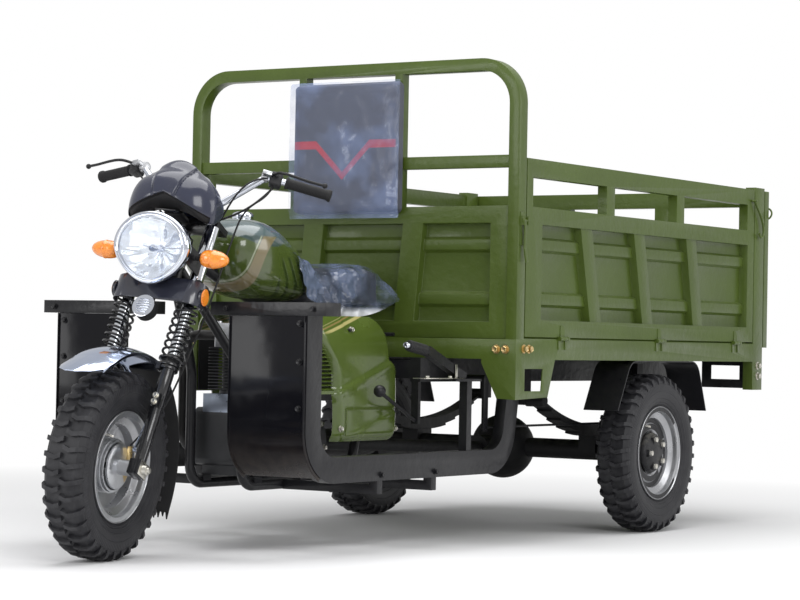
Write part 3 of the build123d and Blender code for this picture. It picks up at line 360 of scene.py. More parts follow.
def join_all(pieces):
    """Joins several meshes into the first."""
    select_only(*pieces)
    if len(pieces) > 1:
        bpy.ops.object.join()
    return pieces[0]


def copies(master, places, frame_of=Matrix.Identity(4)):
    """Joined copies of a small part, each set at a point with its Z along a direction."""
    made = []
    for spot, facing in places:
        twin = master.copy()
        twin.data = master.data.copy()
        bpy.context.scene.collection.objects.link(twin)
        turn = Vector(facing).to_track_quat("Z", "Y").to_matrix().to_4x4()
        twin.data.transform(frame_of @ Matrix.Translation(spot) @ turn)
        made.append(twin)
    return join_all(made)


def drum(sides, radius, depth, location, rotation=(0, 0, 0)):
    """Prism or cylinder about its Z."""
    bpy.ops.mesh.primitive_cylinder_add(vertices=sides, radius=radius, depth=depth, location=location,
                                        rotation=rotation)
    return bpy.context.object


def stepped_top(piece, *steps):
    """Insets the top face and moves it up, for each (inset, rise)."""
    bpy.ops.object.mode_set(mode="EDIT")
    bpy.ops.mesh.select_all(action="DESELECT")
    shape = bmesh.from_edit_mesh(piece.data)
    for face in shape.faces:
        face.select = face.normal.z > 0.9
    bmesh.update_edit_mesh(piece.data)
    for inset, rise in steps:
        bpy.ops.mesh.inset(thickness=inset)
        bpy.ops.transform.translate(value=(0, 0, rise))
    bpy.ops.object.mode_set(mode="OBJECT")


def hex_bolt(across, high):
    """Hexagon head with chamfered corners on a washer, standing on the plane z = 0."""
    washer = drum(18, across * 0.78, high * 0.25, (0, 0, high * 0.12))
    head = drum(6, across * 0.577, high, (0, 0, high * 0.72))
    stepped_top(head, (across * 0.08, high * 0.12), (across * 0.12, -high * 0.08))
    return join_all([place_in_mesh(head), place_in_mesh(washer)])


zinc_gold = metal("zinc_gold", (0.62, 0.46, 0.22), 0.30, 0.10, 0.3)
zinc_pale = metal("zinc_pale", (0.66, 0.64, 0.58), 0.28, 0.08, 0.3)
small_bolt = hex_bolt(0.013, 0.008)
large_bolt = hex_bolt(0.019, 0.011)
corner = []
for side in (-1, 1):
    corner += [((0.210, side * y, 0.648), (1, 0, 0)) for y in (0.592, 0.626)]
    corner += [((x, side * 0.665, 0.650), (0, side, 0)) for x in (0.161, 0.128)]
settle(copies(large_bolt, corner), "corner_bolts", zinc_gold, "chassis")
gate_bolts = [((-1.655, side * 0.665, z), (0, side, 0)) for side in (-1, 1) for z in (0.56, 0.60)]
settle(copies(large_bolt, gate_bolts), "rear_post_bolts", zinc_pale, "chassis")


# Fasteners of the drop boards: a hooked rod with a ring on each rear post, which swings over an
# eye on the tailgate. Bent from round steel bar and painted with the bed.
def bent_line(name, points, radius, frame_of, resolution, facets=2):
    """Round bar along a smooth line, as a curve."""
    line = bpy.data.curves.new(name, "CURVE")
    line.dimensions = "3D"
    run = line.splines.new("NURBS")
    run.points.add(len(points) - 1)
    for point, place in zip(run.points, points):
        point.co = (*(frame_of @ Vector(place)), 1)
    run.order_u = 3
    run.use_endpoint_u = True
    run.resolution_u = resolution
    line.bevel_depth = radius
    line.bevel_resolution = facets
    line.use_fill_caps = True
    return add_object(name, line)


def rod(name, points, radius, frame_of=Matrix.Identity(4), resolution=4):
    """Bent round bar along a smooth line, as a mesh."""
    select_only(bent_line(name, points, radius, frame_of, resolution))
    bpy.ops.object.convert(target="MESH")
    return bpy.context.object


def ring_at(location, turn, radius, thick, segments):
    """Ring of round bar, turned about Y from lying flat."""
    bpy.ops.mesh.primitive_torus_add(location=location, rotation=(0, math.radians(turn), 0),
                                     major_radius=radius, minor_radius=thick, major_segments=segments,
                                     minor_segments=8)
    return bpy.context.object


for side, body in ((1, "left"), (-1, "right")):
    hook = rod(body + "_hook", [(-1.585, side * 0.667, 1.232), (-1.585, side * 0.677, 1.232),
                                (-1.600, side * 0.679, 1.210), (-1.640, side * 0.679, 1.175),
                                (-1.668, side * 0.678, 1.130), (-1.664, side * 0.678, 1.098),
                                (-1.640, side * 0.678, 1.090), (-1.628, side * 0.678, 1.108)], 0.0045)
    eye = ring_at((-1.585, side * 0.671, 1.232), 0, 0.013, 0.0035, 20)
    settle(join_all([hook, eye]), body + "_rear_hook", green, "chassis")
    ring = ring_at((-1.752, side * 0.650, 1.190), 78, 0.022, 0.0038, 24)
    stub = rod(body + "_stub", [(-1.738, side * 0.650, 1.190), (-1.750, side * 0.650, 1.205),
                                (-1.757, side * 0.650, 1.214)], 0.006)
    settle(join_all([ring, stub]), body + "_gate_ring", green, "tailgate_body")


# Frame and step rails: welded square and round tube in satin black, dusty on top. The tubes'
# corners are rounded; the running gear under the bed has the same paint, sprayed thinner.
black = enamel("satin_black", (0.011, 0.011, 0.013), 0.32, 0.06, 0.06)
black_dull = enamel("dull_black", (0.008, 0.008, 0.009), 0.55, 0.14)
rounded("guard_rails", 0.0045, black, "chassis")
for node in ["frame", "gear_lever", "parking_brake", "foot_brake", "lamp_brackets", "rear_mudguards"]:
    coat(cad[node], black)
for node in ["rear_axle", "propeller_shaft", "leaf_springs"]:
    coat(cad[node], black_dull)
rail_bolts = []
for side in (-1, 1):
    rail_bolts += [((1.1358, side * y, 0.758), (1, 0, 0)) for y in (0.18, 0.50)]
    rail_bolts += [((x, side * 0.480, 0.250), (0, side, 0)) for x in (0.395, 0.715)]
settle(copies(small_bolt, rail_bolts), "guard_bolts", black, "chassis")


# Leg shields: sheet steel pressed by hand, gloss black. The panel is left bare; its surface is
# not quite flat, so that reflections run in waves, and a crease crosses it above the bend.
def shield_paint():
    """Gloss black with the waves and the crease of the pressed sheet, and a mottled brown painted reflection
    over its lower part.
    """
    material, tree, spot = blank_material("shield_black")
    split = axes(tree, spot)
    step = ramp(tree, split["Z"], 0.400, 0.428, 0.0, 0.55, interpolation_type="SMOOTHSTEP")
    bumped = bump(tree, plus(tree, clouds(tree, spot, 5.5, 2.0), step), 0.75, 0.006)
    # Painted reflection: brown mottling, rougher, that grows towards the bottom of the shield.
    share = times(tree, clouds(tree, spot, 30.0, 6.0), ramp(tree, split["Z"], 0.40, 0.24, 0.0, 0.6))
    colour = blend(tree, share, (0.005, 0.005, 0.007), (0.075, 0.058, 0.046))
    rough = ramp(tree, share, 0.0, 1.0, 0.16, 0.55)
    return finish(material, colour, rough, bumped, {"Specular IOR Level": 0.14, "Coat Weight": 0.09,
                                                    "Coat Roughness": 0.10})


shield_black = shield_paint()
rounded("leg_shields", 0.0012, shield_black, "chassis")
shield_bolts = [((1.1383, side * 0.455, z), (1, 0, 0)) for side in (-1, 1) for z in (0.715, 0.60, 0.46)]
settle(copies(small_bolt, shield_bolts), "shield_bolts", black, "chassis")


# Tyres: moulded rubber with rings and fine radial ribs on the side walls and pale dust in
# the tread. The side walls carry no writing.
def turned(angle, axis):
    """Turn about an axis, in degrees."""
    return Matrix.Rotation(math.radians(angle), 4, axis)


RAKE = 25.3
steer = Matrix.Translation((1.44884, 0, 0.266906)) @ turned(-RAKE, "Y") @ turned(11, "Z")
front_hub = steer @ Matrix.Translation((0.040, 0, 0)) @ turned(RAKE, "Y")
left_hub = Matrix.Translation((-0.865, 0.595, 0.284))
right_hub = Matrix.Translation((-0.865, -0.595, 0.284)) @ Matrix.Rotation(math.pi, 4, "Z")


def place_in(tree, spot, frame_of):
    """A place, seen in another frame."""
    back = frame_of.inverted()
    return place_node(tree, "Mapping", {"Vector": spot, "Location": back.to_translation(),
                                        "Rotation": back.to_euler()})


def tyre_tone():
    """Shader group: from a place in the wheel's own frame, the colour, gloss and relief of a tyre."""
    group, given = shader_group("tyre_tone", Place="Vector", Dust="Float")
    split = axes(group, given["Place"])
    flat = place_node(group, "CombineXYZ", {0: split["X"], 1: split["Z"]})
    radius = place_node(group, "VectorMath", {0: flat}, operation="LENGTH")
    ribs = maths(group, "SINE", times(group, maths(group, "ARCTAN2", split["X"], split["Z"]), 150.0))
    far = ramp(group, radius.outputs["Value"], 0.244, 0.248, 1.0, 0.0)
    band = times(group, ramp(group, radius.outputs["Value"], 0.226, 0.230), far)
    height = times(group, plus(group, times(group, ribs, 0.15), 0.15), band)
    for place in (0.176, 0.184, 0.197, 0.222, 0.250):
        off = maths(group, "ABSOLUTE", maths(group, "SUBTRACT", radius.outputs["Value"], place))
        line = ramp(group, off, 0.0006, 0.0022, 1.0, 0.0, interpolation_type="SMOOTHSTEP")
        height = plus(group, height, line)
    height = plus(group, height, times(group, clouds(group, given["Place"], 260.0, 4.0), 0.16))
    dusty = ramp(group, clouds(group, given["Place"], 16.0, 8.0, rough=0.65), 0.38, 0.72)
    dusty = times(group, dusty, ramp(group, radius.outputs["Value"], 0.255, 0.283, 0.35, 1.0))
    dusty = times(group, dusty, given["Dust"])
    colour = blend(group, dusty, (0.012, 0.012, 0.015), (0.10, 0.10, 0.105))
    rough = ramp(group, dusty, 0.0, 1.0, 0.48, 0.9)
    return filled(group, colour, rough, bump(group, height, 0.7, 0.002))


tyre_group = tyre_tone()
for node, hub, dust in [("front_tyre", front_hub, 0.55), ("rear_left_tyre", left_hub, 0.5),
                        ("rear_right_tyre", right_hub, 0.5)]:
    rubber, tree, spot = blank_material(node + "_rubber")
    toned(rubber, tyre_group, {"Place": place_in(tree, spot, hub), "Dust": dust},
          {"Specular IOR Level": 0.35})
    coat(cad[node], rubber)


# Wheels: pressed steel in silver paint. The rear hubs are black domes with five plated nuts,
# and the front wheel has a bare aluminium brake drum in its middle.
silver = metal("silver_paint", (0.44, 0.445, 0.46), 0.30, 0.10, 0.7, 0.85)
alloy = metal("bare_alloy", (0.55, 0.56, 0.58), 0.34, 0.14, 1.0)
hub_black = enamel("hub_black", (0.020, 0.020, 0.022), 0.42, 0.5)


def dressed(node, materials, pick, body, width=0.0012):
    """Rounded copy of a CAD node whose faces take one of several finishes, by their place."""
    piece = rounded(node, width, materials[0], body)
    coat(piece, *materials)
    for face in piece.data.polygons:
        face.material_index = pick(face.center)


def rear_finish(hub):
    """Picks silver, hub black or the nuts' zinc from a face's place about a rear hub."""
    to_hub = hub.inverted()

    def pick(place):
        here = to_hub @ place
        radius = math.hypot(here.x, here.z)
        if here.y > 0.0455 and abs(radius - 0.050) < 0.011:
            return 2
        return 1 if radius < 0.0725 else 0
    return pick


for node, hub in (("rear_left_wheel", left_hub), ("rear_right_wheel", right_hub)):
    dressed(node, [silver, hub_black, zinc_pale], rear_finish(hub), node + "_body", 0.0008)
to_front = front_hub.inverted()
dressed("front_wheel", [silver, alloy],
        lambda place: 1 if math.hypot((to_front @ place).x, (to_front @ place).z) < 0.083 else 0,
        "front_wheel_body", 0.0008)
valve = hex_bolt(0.007, 0.022)
for hub, name in [(front_hub, "front"), (left_hub, "rear_left"), (right_hub, "rear_right")]:
    settle(copies(valve, [((0.096, 0.034, 0.1015), (-0.20, 0.9, -0.20))], hub), name + "_valve", zinc_pale,
           name + "_wheel_body")
bpy.data.objects.remove(valve)


# Engine: cast crankcase with a ribbed sump, black below a bare alloy deck, and an air-cooled
# barrel with thin black fins under an alloy head.
engine_black = metal("engine_black", (0.030, 0.031, 0.034), 0.42, 0.16, 1.0, 0.3)
deck_alloy = metal("deck_alloy", (0.40, 0.45, 0.55), 0.32, 0.14, 1.0)
dressed("engine_case", [engine_black, deck_alloy], lambda place: 1 if place.z > 0.4465 else 0,
        "chassis", 0.0025)
dressed("engine_cylinder", [engine_black, alloy], lambda place: 1 if place.z > 0.6385 else 0,
        "chassis", 0.0006)
case_bolts = []
# Columns: bolts in the circle, first angle, centre x and z, radius, half width of the case
for count, first, x, z, radius, out in [(6, 15, 0.640, 0.340, 0.080, 0.158),
                                        (4, 45, 0.790, 0.330, 0.059, 0.145)]:
    for swing in [math.radians(first + 360 * i / count) for i in range(count)]:
        case_bolts += [((x + radius * math.cos(swing), side * out, z + radius * math.sin(swing)),
                        (0, side, 0)) for side in (-1, 1)]
settle(copies(small_bolt, case_bolts), "case_bolts", zinc_pale, "chassis")
pipe_black = metal("pipe_black", (0.035, 0.034, 0.034), 0.38, 0.2, 0.9, 0.5)
rounded("exhaust", 0.0012, pipe_black, "chassis")


# Carburettor and air box: a die-cast body between a rubber throat and the moulded box.
def plastic(name, colour, gloss, grain, coat=0.0):
    """Moulded plastic: fine grained surface with faint rubbed and dusty patches."""
    material, tree, spot = blank_material(name)
    bumped = bump(tree, place_node(tree, "TexVoronoi", {"Vector": spot, "Scale": 900.0}), grain, 0.0004)
    rubbed = ramp(tree, clouds(tree, spot, 21.0, 6.0), 0.35, 0.7)
    colour_mix = blend(tree, rubbed, colour, tuple(0.85 * part + 0.005 for part in colour))
    rough = ramp(tree, rubbed, 0.0, 1.0, gloss, gloss + 0.12)
    return finish(material, colour_mix, rough, bumped, {"Specular IOR Level": 0.32, "Coat Weight": coat,
                                                        "Coat Roughness": 0.08})


box_plastic = plastic("box_plastic", (0.022, 0.022, 0.024), 0.45, 0.35)
soft_black = plastic("soft_black", (0.012, 0.012, 0.013), 0.62, 0.5)
dressed("intake", [box_plastic, alloy], lambda place: 1 if place.x > 0.697 else 0,
        "chassis", 0.0015)


# Fuel tank: two deep-drawn halves welded along the bottom, green lacquer with a tan field swept back
# along each side, a blue-green painted reflection over its top, and a chromed lock cap. The badge is left
# off.
def lofted(name, rows, closed=False):
    """Sheet through rows of equally many points, or a closed skin with a face at each end."""
    mesh = bpy.data.meshes.new(name)
    shape = bmesh.new()
    rows = [[shape.verts.new(point) for point in row] for row in rows]
    count = len(rows[0])
    for one, two in zip(rows, rows[1:]):
        for i in range(count if closed else count - 1):
            shape.faces.new((one[i], one[(i + 1) % count], two[(i + 1) % count], two[i]))
    if closed:
        shape.faces.new(rows[0])
        shape.faces.new(rows[-1])
    bmesh.ops.recalc_face_normals(shape, faces=shape.faces)
    shape.to_mesh(mesh)
    shape.free()
    return add_object(name, mesh)


def box(location, scale, rotation=(0, 0, 0)):
    """Block of the given sizes."""
    bpy.ops.mesh.primitive_cube_add(size=1, location=location, rotation=rotation, scale=scale)
    return bpy.context.object


# Columns, in millimetres: x, half width, bottom, top
tank_stations = [(592, 98, 812, 885), (597, 117, 794, 912), (612, 123, 788, 938), (655, 127, 786, 974),
                 (710, 133, 786, 1006), (765, 142, 788, 1032), (820, 148, 792, 1048), (880, 148, 804, 1052),
                 (935, 138, 828, 1036), (968, 120, 862, 1014), (985, 94, 898, 988), (990, 50, 926, 966)]
rings = []
for row in tank_stations:
    x, half, low, high = (value / 1000 for value in row)
    middle, tall = (low + high) / 2, (high - low) / 2
    ring = []
    for i in range(20):
        swing = math.tau * i / 20
        c, s = math.cos(swing), math.sin(swing)
        bulge = 1.0 + 0.10 * max(0.0, s)
        across = half * math.copysign(abs(c) ** 0.74, c) * bulge
        ring.append((x, across, middle + tall * math.copysign(abs(s) ** 0.80, s)))
    rings.append(ring)
tank = lofted("tank_shell", rings, True)
finish_with(tank, "SUBSURF", levels=2, render_levels=2)


def tank_paint():
    """Green lacquer; the swept tan field, its edge and the blue-green painted reflection on top follow arcs
    seen from the side.
    """
    material, tree, spot = blank_material("tank_lacquer")
    split = axes(tree, spot)
    x, z = split["X"], split["Z"]
    cloudy = clouds(tree, spot, 6.0, 3.0)
    paint = blend(tree, cloudy, (0.050, 0.078, 0.012), (0.075, 0.108, 0.022))

    def beyond(low, high, value):
        """1 where the value is past the line, softly."""
        return ramp(tree, value, low, high)

    def away(cx, cz):
        """Distance from a point, seen from the side."""
        side = place_node(tree, "CombineXYZ", {0: x, 1: z})
        return place_node(tree, "VectorMath", {0: side, 1: (cx, cz, 0)},
                          operation="DISTANCE").outputs["Value"]

    def field(mask, value):
        """Lays a colour over the paint where the mask is 1."""
        nonlocal paint
        paint = blend(tree, mask, paint, value)

    # Painted reflection: two blue-green fields, lighter in a band, over the top of the tank's front half.
    top = times(tree, beyond(0.955, 0.960, z), beyond(0.76, 0.80, x))
    arc = away(0.860, 1.185)
    field(times(tree, top, beyond(0.232, 0.226, arc)), (0.045, 0.075, 0.070))
    field(times(tree, times(tree, top, beyond(0.206, 0.200, arc)), beyond(0.150, 0.160, arc)),
          (0.070, 0.110, 0.115))
    sweep = away(0.760, 0.860)
    swept = times(tree, beyond(0.140, 0.144, sweep), beyond(0.186, 0.182, sweep))
    field(times(tree, swept, beyond(0.992, 0.986, z)), (0.185, 0.150, 0.070))
    edge = times(tree, beyond(0.186, 0.188, sweep), beyond(0.193, 0.191, sweep))
    field(times(tree, edge, beyond(0.992, 0.986, z)), (0.30, 0.33, 0.22))
    rear = times(tree, beyond(0.800, 0.790, x), beyond(0.930, 0.922, z))
    waves = maths(tree, "SINE", times(tree, plus(tree, times(tree, x, -1.3), z), 94.0))
    shaded_groove = times(tree, rear, beyond(0.25, 0.65, waves))
    # Besides their bump, the grooves are painted a darker green as painted shade in the recesses.
    field(shaded_groove, (0.027, 0.045, 0.008))
    height = plus(tree, times(tree, shaded_groove, -0.8), times(tree, clouds(tree, spot, 420.0, 2.0), 0.02))
    bumped = bump(tree, height, 0.6, 0.003)
    rough = ramp(tree, cloudy, 0.0, 1.0, 0.16, 0.26)
    return finish(material, paint, rough, bumped, {"Coat Weight": 0.8, "Coat Roughness": 0.05})


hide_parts("fuel_tank")
settle(tank, "tank_shell", tank_paint(), "chassis", 60)
# The chrome's base colour is tinted blue as a painted reflection of the sky.
chrome = metal("chrome_plate_painted_sky", (0.66, 0.69, 0.76), 0.06, 0.05, 0.05)
cap = drum(40, 0.034, 0.016, (0.815, 0, 1.054))
stepped_top(cap, (0.006, 0.006), (0.010, 0.004))
finish_with(cap, "BEVEL", width=0.0012, segments=2)
flap = box((0.815, 0, 1.069), (0.030, 0.011, 0.006))
finish_with(flap, "BEVEL", width=0.002, segments=2)
settle(join_all([cap, flap]), "tank_cap", chrome, "chassis")


# Side covers: vacuum-formed shells in the tank's green. A raised band crosses each, the part
# above it is set back and rolls in under the saddle, and slats fill the bay in front, with a
# black sheet behind them as painted shade for the inside of the bay.
# Pale and tan streaks curve up towards the saddle at the front corner.
def cover_paint():
    """Green lacquer with pale and tan streaks at the front top corner."""
    material, tree, spot = blank_material("cover_lacquer")
    split = axes(tree, spot)
    cloudy = clouds(tree, spot, 7.0, 4.0)
    paint = blend(tree, cloudy, (0.058, 0.094, 0.010), (0.100, 0.146, 0.024))
    lean = plus(tree, times(tree, split["X"], 0.26), split["Z"])
    high = ramp(tree, split["Z"], 0.684, 0.694)
    # Columns: lower line, upper line, colour
    for near, far, value in [(0.8605, 0.8735, (0.48, 0.43, 0.17)), (0.8790, 0.8870, (0.27, 0.20, 0.07)),
                             (0.8900, 0.8945, (0.44, 0.40, 0.18))]:
        share = times(tree, ramp(tree, lean, near, near + 0.003), ramp(tree, lean, far, far - 0.003))
        share = times(tree, share, high)
        paint = blend(tree, share, paint, value)
    bumped = bump(tree, cloudy, 0.4, 0.003)
    rough = ramp(tree, cloudy, 0.0, 1.0, 0.20, 0.32)
    return finish(material, paint, rough, bumped, {"Coat Weight": 0.5, "Coat Roughness": 0.08})


cover_green = cover_paint()
# Columns, in millimetres: z, rear x, front x
cover_edge = [(341, 285, 618), (350, 270, 631), (396, 261, 627), (461, 261, 629), (499, 262, 642),
              (513, 262, 631), (560, 264, 632), (582, 268, 643), (603, 300, 656), (653, 309, 705),
              (690, 322, 732), (714, 337, 735), (735, 360, 730), (746, 385, 715)]


def cover_out(x, z, rear, front):
    """How far out the shell stands at a place, in metres from the middle plane."""
    edge = min(x - rear, front - x)
    out = 0.250 - 0.020 * max(0.0, 1.0 - edge / 0.030) ** 2 - 0.026 * max(0.0, (z - 0.650) / 0.096) ** 2
    out -= 0.018 * max(0.0, (0.372 - z) / 0.031) ** 2
    above = z - (0.504 + (0.578 - x) * 0.3165)
    out += 0.0055 * min(1.0, max(0.0, (0.0145 - abs(above)) / 0.004)) + (0.0035 if above < -0.012 else 0.0)
    leaf = z - (0.357 + (0.581 - x) * 0.250)
    if x < 0.575 and above < -0.020 and leaf > 0:
        out -= 0.005 * min(1.0, leaf / 0.006) * min(1.0, max(0.0, (0.452 - z) / 0.008))
    ledge = z - (0.692 + (0.567 - x) * 0.276)
    if x < 0.580:
        out -= 0.004 * min(1.0, max(0.0, (ledge + 0.002) / 0.004))
    return out


covers = []
for side in (-1, 1):
    rows = []
    for step in range(64):
        z = 0.341 + 0.405 * step / 63
        low, high = next((one, two) for one, two in zip(cover_edge, cover_edge[1:])
                         if z * 1000 <= two[0] + 0.001)
        share = (z * 1000 - low[0]) / (high[0] - low[0])
        rear, front = ((low[k] + (high[k] - low[k]) * share) / 1000 for k in (1, 2))
        row = [rear + (front - rear) * (0.5 - 0.5 * math.cos(math.pi * i / 47)) for i in range(48)]
        rows.append([(x, side * cover_out(x, z, rear, front), z) for x in row])
    shell = lofted("cover", rows)
    finish_with(shell, "SMOOTH", factor=0.5, iterations=1)
    finish_with(shell, "SOLIDIFY", thickness=0.0025, offset=-side)
    covers.append(shell)
covers = join_all(covers)
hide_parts("side_covers")
settle(covers, "side_covers_shell", cover_green, "chassis", 50)
slats, shade_sheets = [], []
for side in (-1, 1):
    for i in range(12):
        z = 0.511 + 0.0128 * i
        slats.append(box((0.682, side * 0.233, z), (0.106, 0.014, 0.0022), (side * math.radians(-28), 0, 0)))
    for x, z, wide, high in [(0.735, 0.583, 0.012, 0.172), (0.682, 0.500, 0.112, 0.012),
                             (0.690, 0.668, 0.100, 0.014)]:
        slats.append(box((x, side * 0.235, z), (wide, 0.014, high)))
    # Painted shade: a black sheet just behind the slats stands for the shaded inside of the bay.
    shade_sheets.append(box((0.684, side * 0.222, 0.583), (0.108, 0.003, 0.170)))
settle(finish_with(join_all(slats), "BEVEL", width=0.0007, segments=1), "cover_slats", cover_green,
       "chassis")
settle(join_all(shade_sheets), "cover_bay_shade", soft_black, "chassis")
cover_screws = [((x, side * y, z), (0, side, 0)) for side in (-1, 1)
                for x, y, z in ((0.285, 0.2502, 0.380), (0.606, 0.2502, 0.384), (0.540, 0.2405, 0.702))]
settle(copies(small_bolt, cover_screws), "cover_screws", zinc_pale, "chassis")


# Saddle: foam on a steel pan under dark grained vinyl. The foam's swell comes from a cloth
# simulation of its cover, held down along its base.
def vinyl(name, colour, marks=()):
    """Grained vinyl; marks are stripes on its front face as (across, up, lean, half height, colour)."""
    material, tree, spot = blank_material(name)
    grain = place_node(tree, "TexVoronoi", {"Vector": spot, "Scale": 420.0}, feature="DISTANCE_TO_EDGE")
    folds = clouds(tree, spot, 16.0, 4.0)
    bumped = bump(tree, plus(tree, grain, times(tree, folds, 2.0)), 0.35, 0.0012)
    paint = blend(tree, folds, colour, tuple(1.35 * part for part in colour))
    split = axes(tree, spot)
    front = ramp(tree, split["X"], 0.247, 0.252)
    for across, up, lean, half, value in marks:
        away = maths(tree, "ABSOLUTE", maths(tree, "SUBTRACT", split["Y"], across))
        away = maths(tree, "MINIMUM", away, 0.108)
        gap = maths(tree, "SUBTRACT", split["Z"], plus(tree, times(tree, away, lean), up))
        gap = maths(tree, "ABSOLUTE", gap)
        share = times(tree, ramp(tree, gap, half - 0.001, half + 0.001, 1.0, 0.0), front)
        paint = blend(tree, share, paint, value)
    rough = ramp(tree, folds, 0.0, 1.0, 0.42, 0.6)
    return finish(material, paint, rough, bumped, {"Sheen Weight": 0.1})


def stuffed(node, inset, voxel, swell, held, material):
    """Padded copy of a CAD node: remeshed, blown up a little as cloth, and held where it is fixed."""
    piece = copy_of(node, node + "_pad")
    finish_with(piece, "REMESH", mode="VOXEL", voxel_size=voxel)
    fixed = [vertex.index for vertex in piece.data.vertices if held(vertex.co)]
    normals = [vertex.normal.copy() for vertex in piece.data.vertices]
    for vertex, way in zip(piece.data.vertices, normals):
        if not held(vertex.co):
            vertex.co = vertex.co - way * inset
    grip = piece.vertex_groups.new(name="base")
    grip.add(fixed, 1.0, "REPLACE")
    rest = [vertex.co.copy() for vertex in piece.data.vertices]
    cloth = piece.modifiers.new("stuffing", "CLOTH")
    cloth.settings.quality = 5
    cloth.settings.use_pressure = True
    cloth.settings.uniform_pressure_force = 4.0
    cloth.settings.vertex_group_mass = "base"
    cloth.settings.effector_weights.gravity = 0
    cloth.point_cache.frame_start = 1
    cloth.point_cache.frame_end = 20
    for number in range(1, 21):
        bpy.context.scene.frame_set(number)
    seen = piece.evaluated_get(bpy.context.evaluated_depsgraph_get())
    blown = [vertex.co.copy() for vertex in seen.data.vertices]
    piece.modifiers.remove(cloth)
    for vertex, start, end in zip(piece.data.vertices, rest, blown):
        step = end - start
        if step.length > swell:
            step = step * (swell / step.length)
        vertex.co = start + step
    bpy.context.scene.frame_set(1)
    finish_with(piece, "SMOOTH", factor=0.5, iterations=3)
    finish_with(piece, "SUBSURF", levels=1, render_levels=1)
    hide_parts(node)
    settle(piece, node + "_pad", material, "chassis", 70)


saddle_vinyl = vinyl("saddle_vinyl", (0.026, 0.028, 0.034))
stuffed("seat", 0.005, 0.0055, 0.010, lambda spot: spot.z < 0.793, saddle_vinyl)


# Backrest: foam board in dark grey vinyl with a red stripe that dips to a V in the middle.
# The rest of its front is left plain.
rest_vinyl = vinyl("rest_vinyl", (0.052, 0.056, 0.075), [(0.004, 1.222, 0.98, 0.0135, (0.42, 0.035, 0.045))])
stuffed("backrest", 0.004, 0.0055, 0.0035, lambda spot: spot.x < 0.2155, rest_vinyl)


# Wrapping film: the saddle and the backrest still wear their clear bags, crinkled and pulled
# tight at places, with painted white highlights along the folds.
def film(name, milk, scale, hem, tint_of):
    """Thin clear film: mostly see-through, with painted white highlights along its creases and below the
    height of its hem.
    """
    material, tree, spot = blank_material(name)
    creases = clouds(tree, spot, scale, 5.0, bend=1.4, noise_type="RIDGED_MULTIFRACTAL")
    low = ramp(tree, axes(tree, spot)["Z"], hem + 0.022, hem)
    fine = clouds(tree, spot, scale * 2.4, 4.0, bend=2.0, noise_type="RIDGED_MULTIFRACTAL")
    fine = ramp(tree, fine, 1.04, 1.42, 0.0, 0.85)
    # Painted highlight: the crease and hem mask turns the film white and less clear.
    sharp = maths(tree, "MAXIMUM", maths(tree, "MAXIMUM", ramp(tree, creases, 0.98, 1.36), low), fine)
    clear = times(tree, ramp(tree, clouds(tree, spot, scale * 0.7, 4.0), 0.40, 0.62, 0.35, 1.5), milk)
    alpha = maths(tree, "MINIMUM", plus(tree, clear, times(tree, sharp, 0.62)), 0.92)
    bumped = bump(tree, creases, 0.9, 0.005)
    tint = blend(tree, sharp, tint_of, (0.90, 0.92, 0.97))
    return finish(material, tint, 0.14, bumped, {"Alpha": alpha, "Coat Weight": 0.4, "Coat Roughness": 0.05})


def crumple(piece, depth, scale, seed):
    """Pushes a sheet's points along their normals in ridges, the same way each run."""
    for vertex, way in [(vertex, vertex.normal.copy()) for vertex in piece.data.vertices]:
        spot = vertex.co * scale + Vector((seed, seed * 0.7, -seed))
        ridge = abs(noise.noise(spot)) + 0.5 * abs(noise.noise(spot * 2.3 + Vector((3, 1, 2))))
        vertex.co = vertex.co + way * depth * (1.0 - 2.2 * ridge)


# Saddle's bag. Columns, in millimetres: x, top, half width at the shoulder, left hem's y and z,
# right hem's z
bag_stations = [(236, 868, 150, 226, 806, 800), (252, 897, 164, 243, 806, 795),
                (285, 913, 172, 238, 792, 780), (330, 920, 174, 212, 762, 765),
                (400, 912, 172, 188, 745, 755), (470, 896, 160, 176, 742, 752),
                (530, 884, 144, 162, 752, 756), (580, 896, 138, 152, 768, 766),
                (612, 930, 134, 150, 790, 788), (652, 944, 131, 149, 792, 790),
                (676, 952, 129, 149, 846, 840), (700, 960, 127, 148, 902, 896),
                (722, 964, 124, 146, 938, 934)]
rows = []
for row in bag_stations:
    x, top, half, hem_y, hem_left, hem_right = (value / 1000 for value in row)
    across = [(-hem_y + 0.02, hem_right), (-half - 0.012, (hem_right + top) / 2), (-half, top - 0.026),
              (-half + 0.022, top - 0.004), (-half * 0.5, top + 0.002), (0, top + 0.003),
              (half * 0.5, top + 0.002), (half - 0.022, top - 0.004), (half, top - 0.026),
              ((half + hem_y) / 2 + 0.004, (hem_left + top) / 2), (hem_y, hem_left)]
    rows.append([(x, y, z) for y, z in across])
bag = lofted("saddle_bag", rows)
finish_with(bag, "SUBSURF", levels=3, render_levels=3)
crumple(bag, 0.0055, 24.0, 3.0)
finish_with(bag, "SUBSURF", levels=1, render_levels=1)
settle(bag, "saddle_bag", film("saddle_film", 0.62, 15.0, 0.757, (0.115, 0.145, 0.225)), "chassis",
       80)
columns = (-0.222, -0.212, -0.19, -0.15, -0.1, -0.05, 0, 0.05, 0.1, 0.15, 0.19, 0.212, 0.222)
rows = []
for z in [1.078 + 0.0165 * i for i in range(29)]:
    edge = 0.0 if 1.10 < z < 1.53 else 0.007
    rows.append([(0.2625 - edge - (0.006 if abs(y) > 0.205 else 0.0), 0.007 + y, z) for y in columns])
bag = lofted("backrest_bag", rows)
finish_with(bag, "SUBSURF", levels=2, render_levels=2)
crumple(bag, 0.0022, 17.0, 8.0)
settle(bag, "backrest_bag", film("backrest_film", 0.30, 9.0, 1.05, (0.28, 0.36, 0.60)), "chassis",
       80)


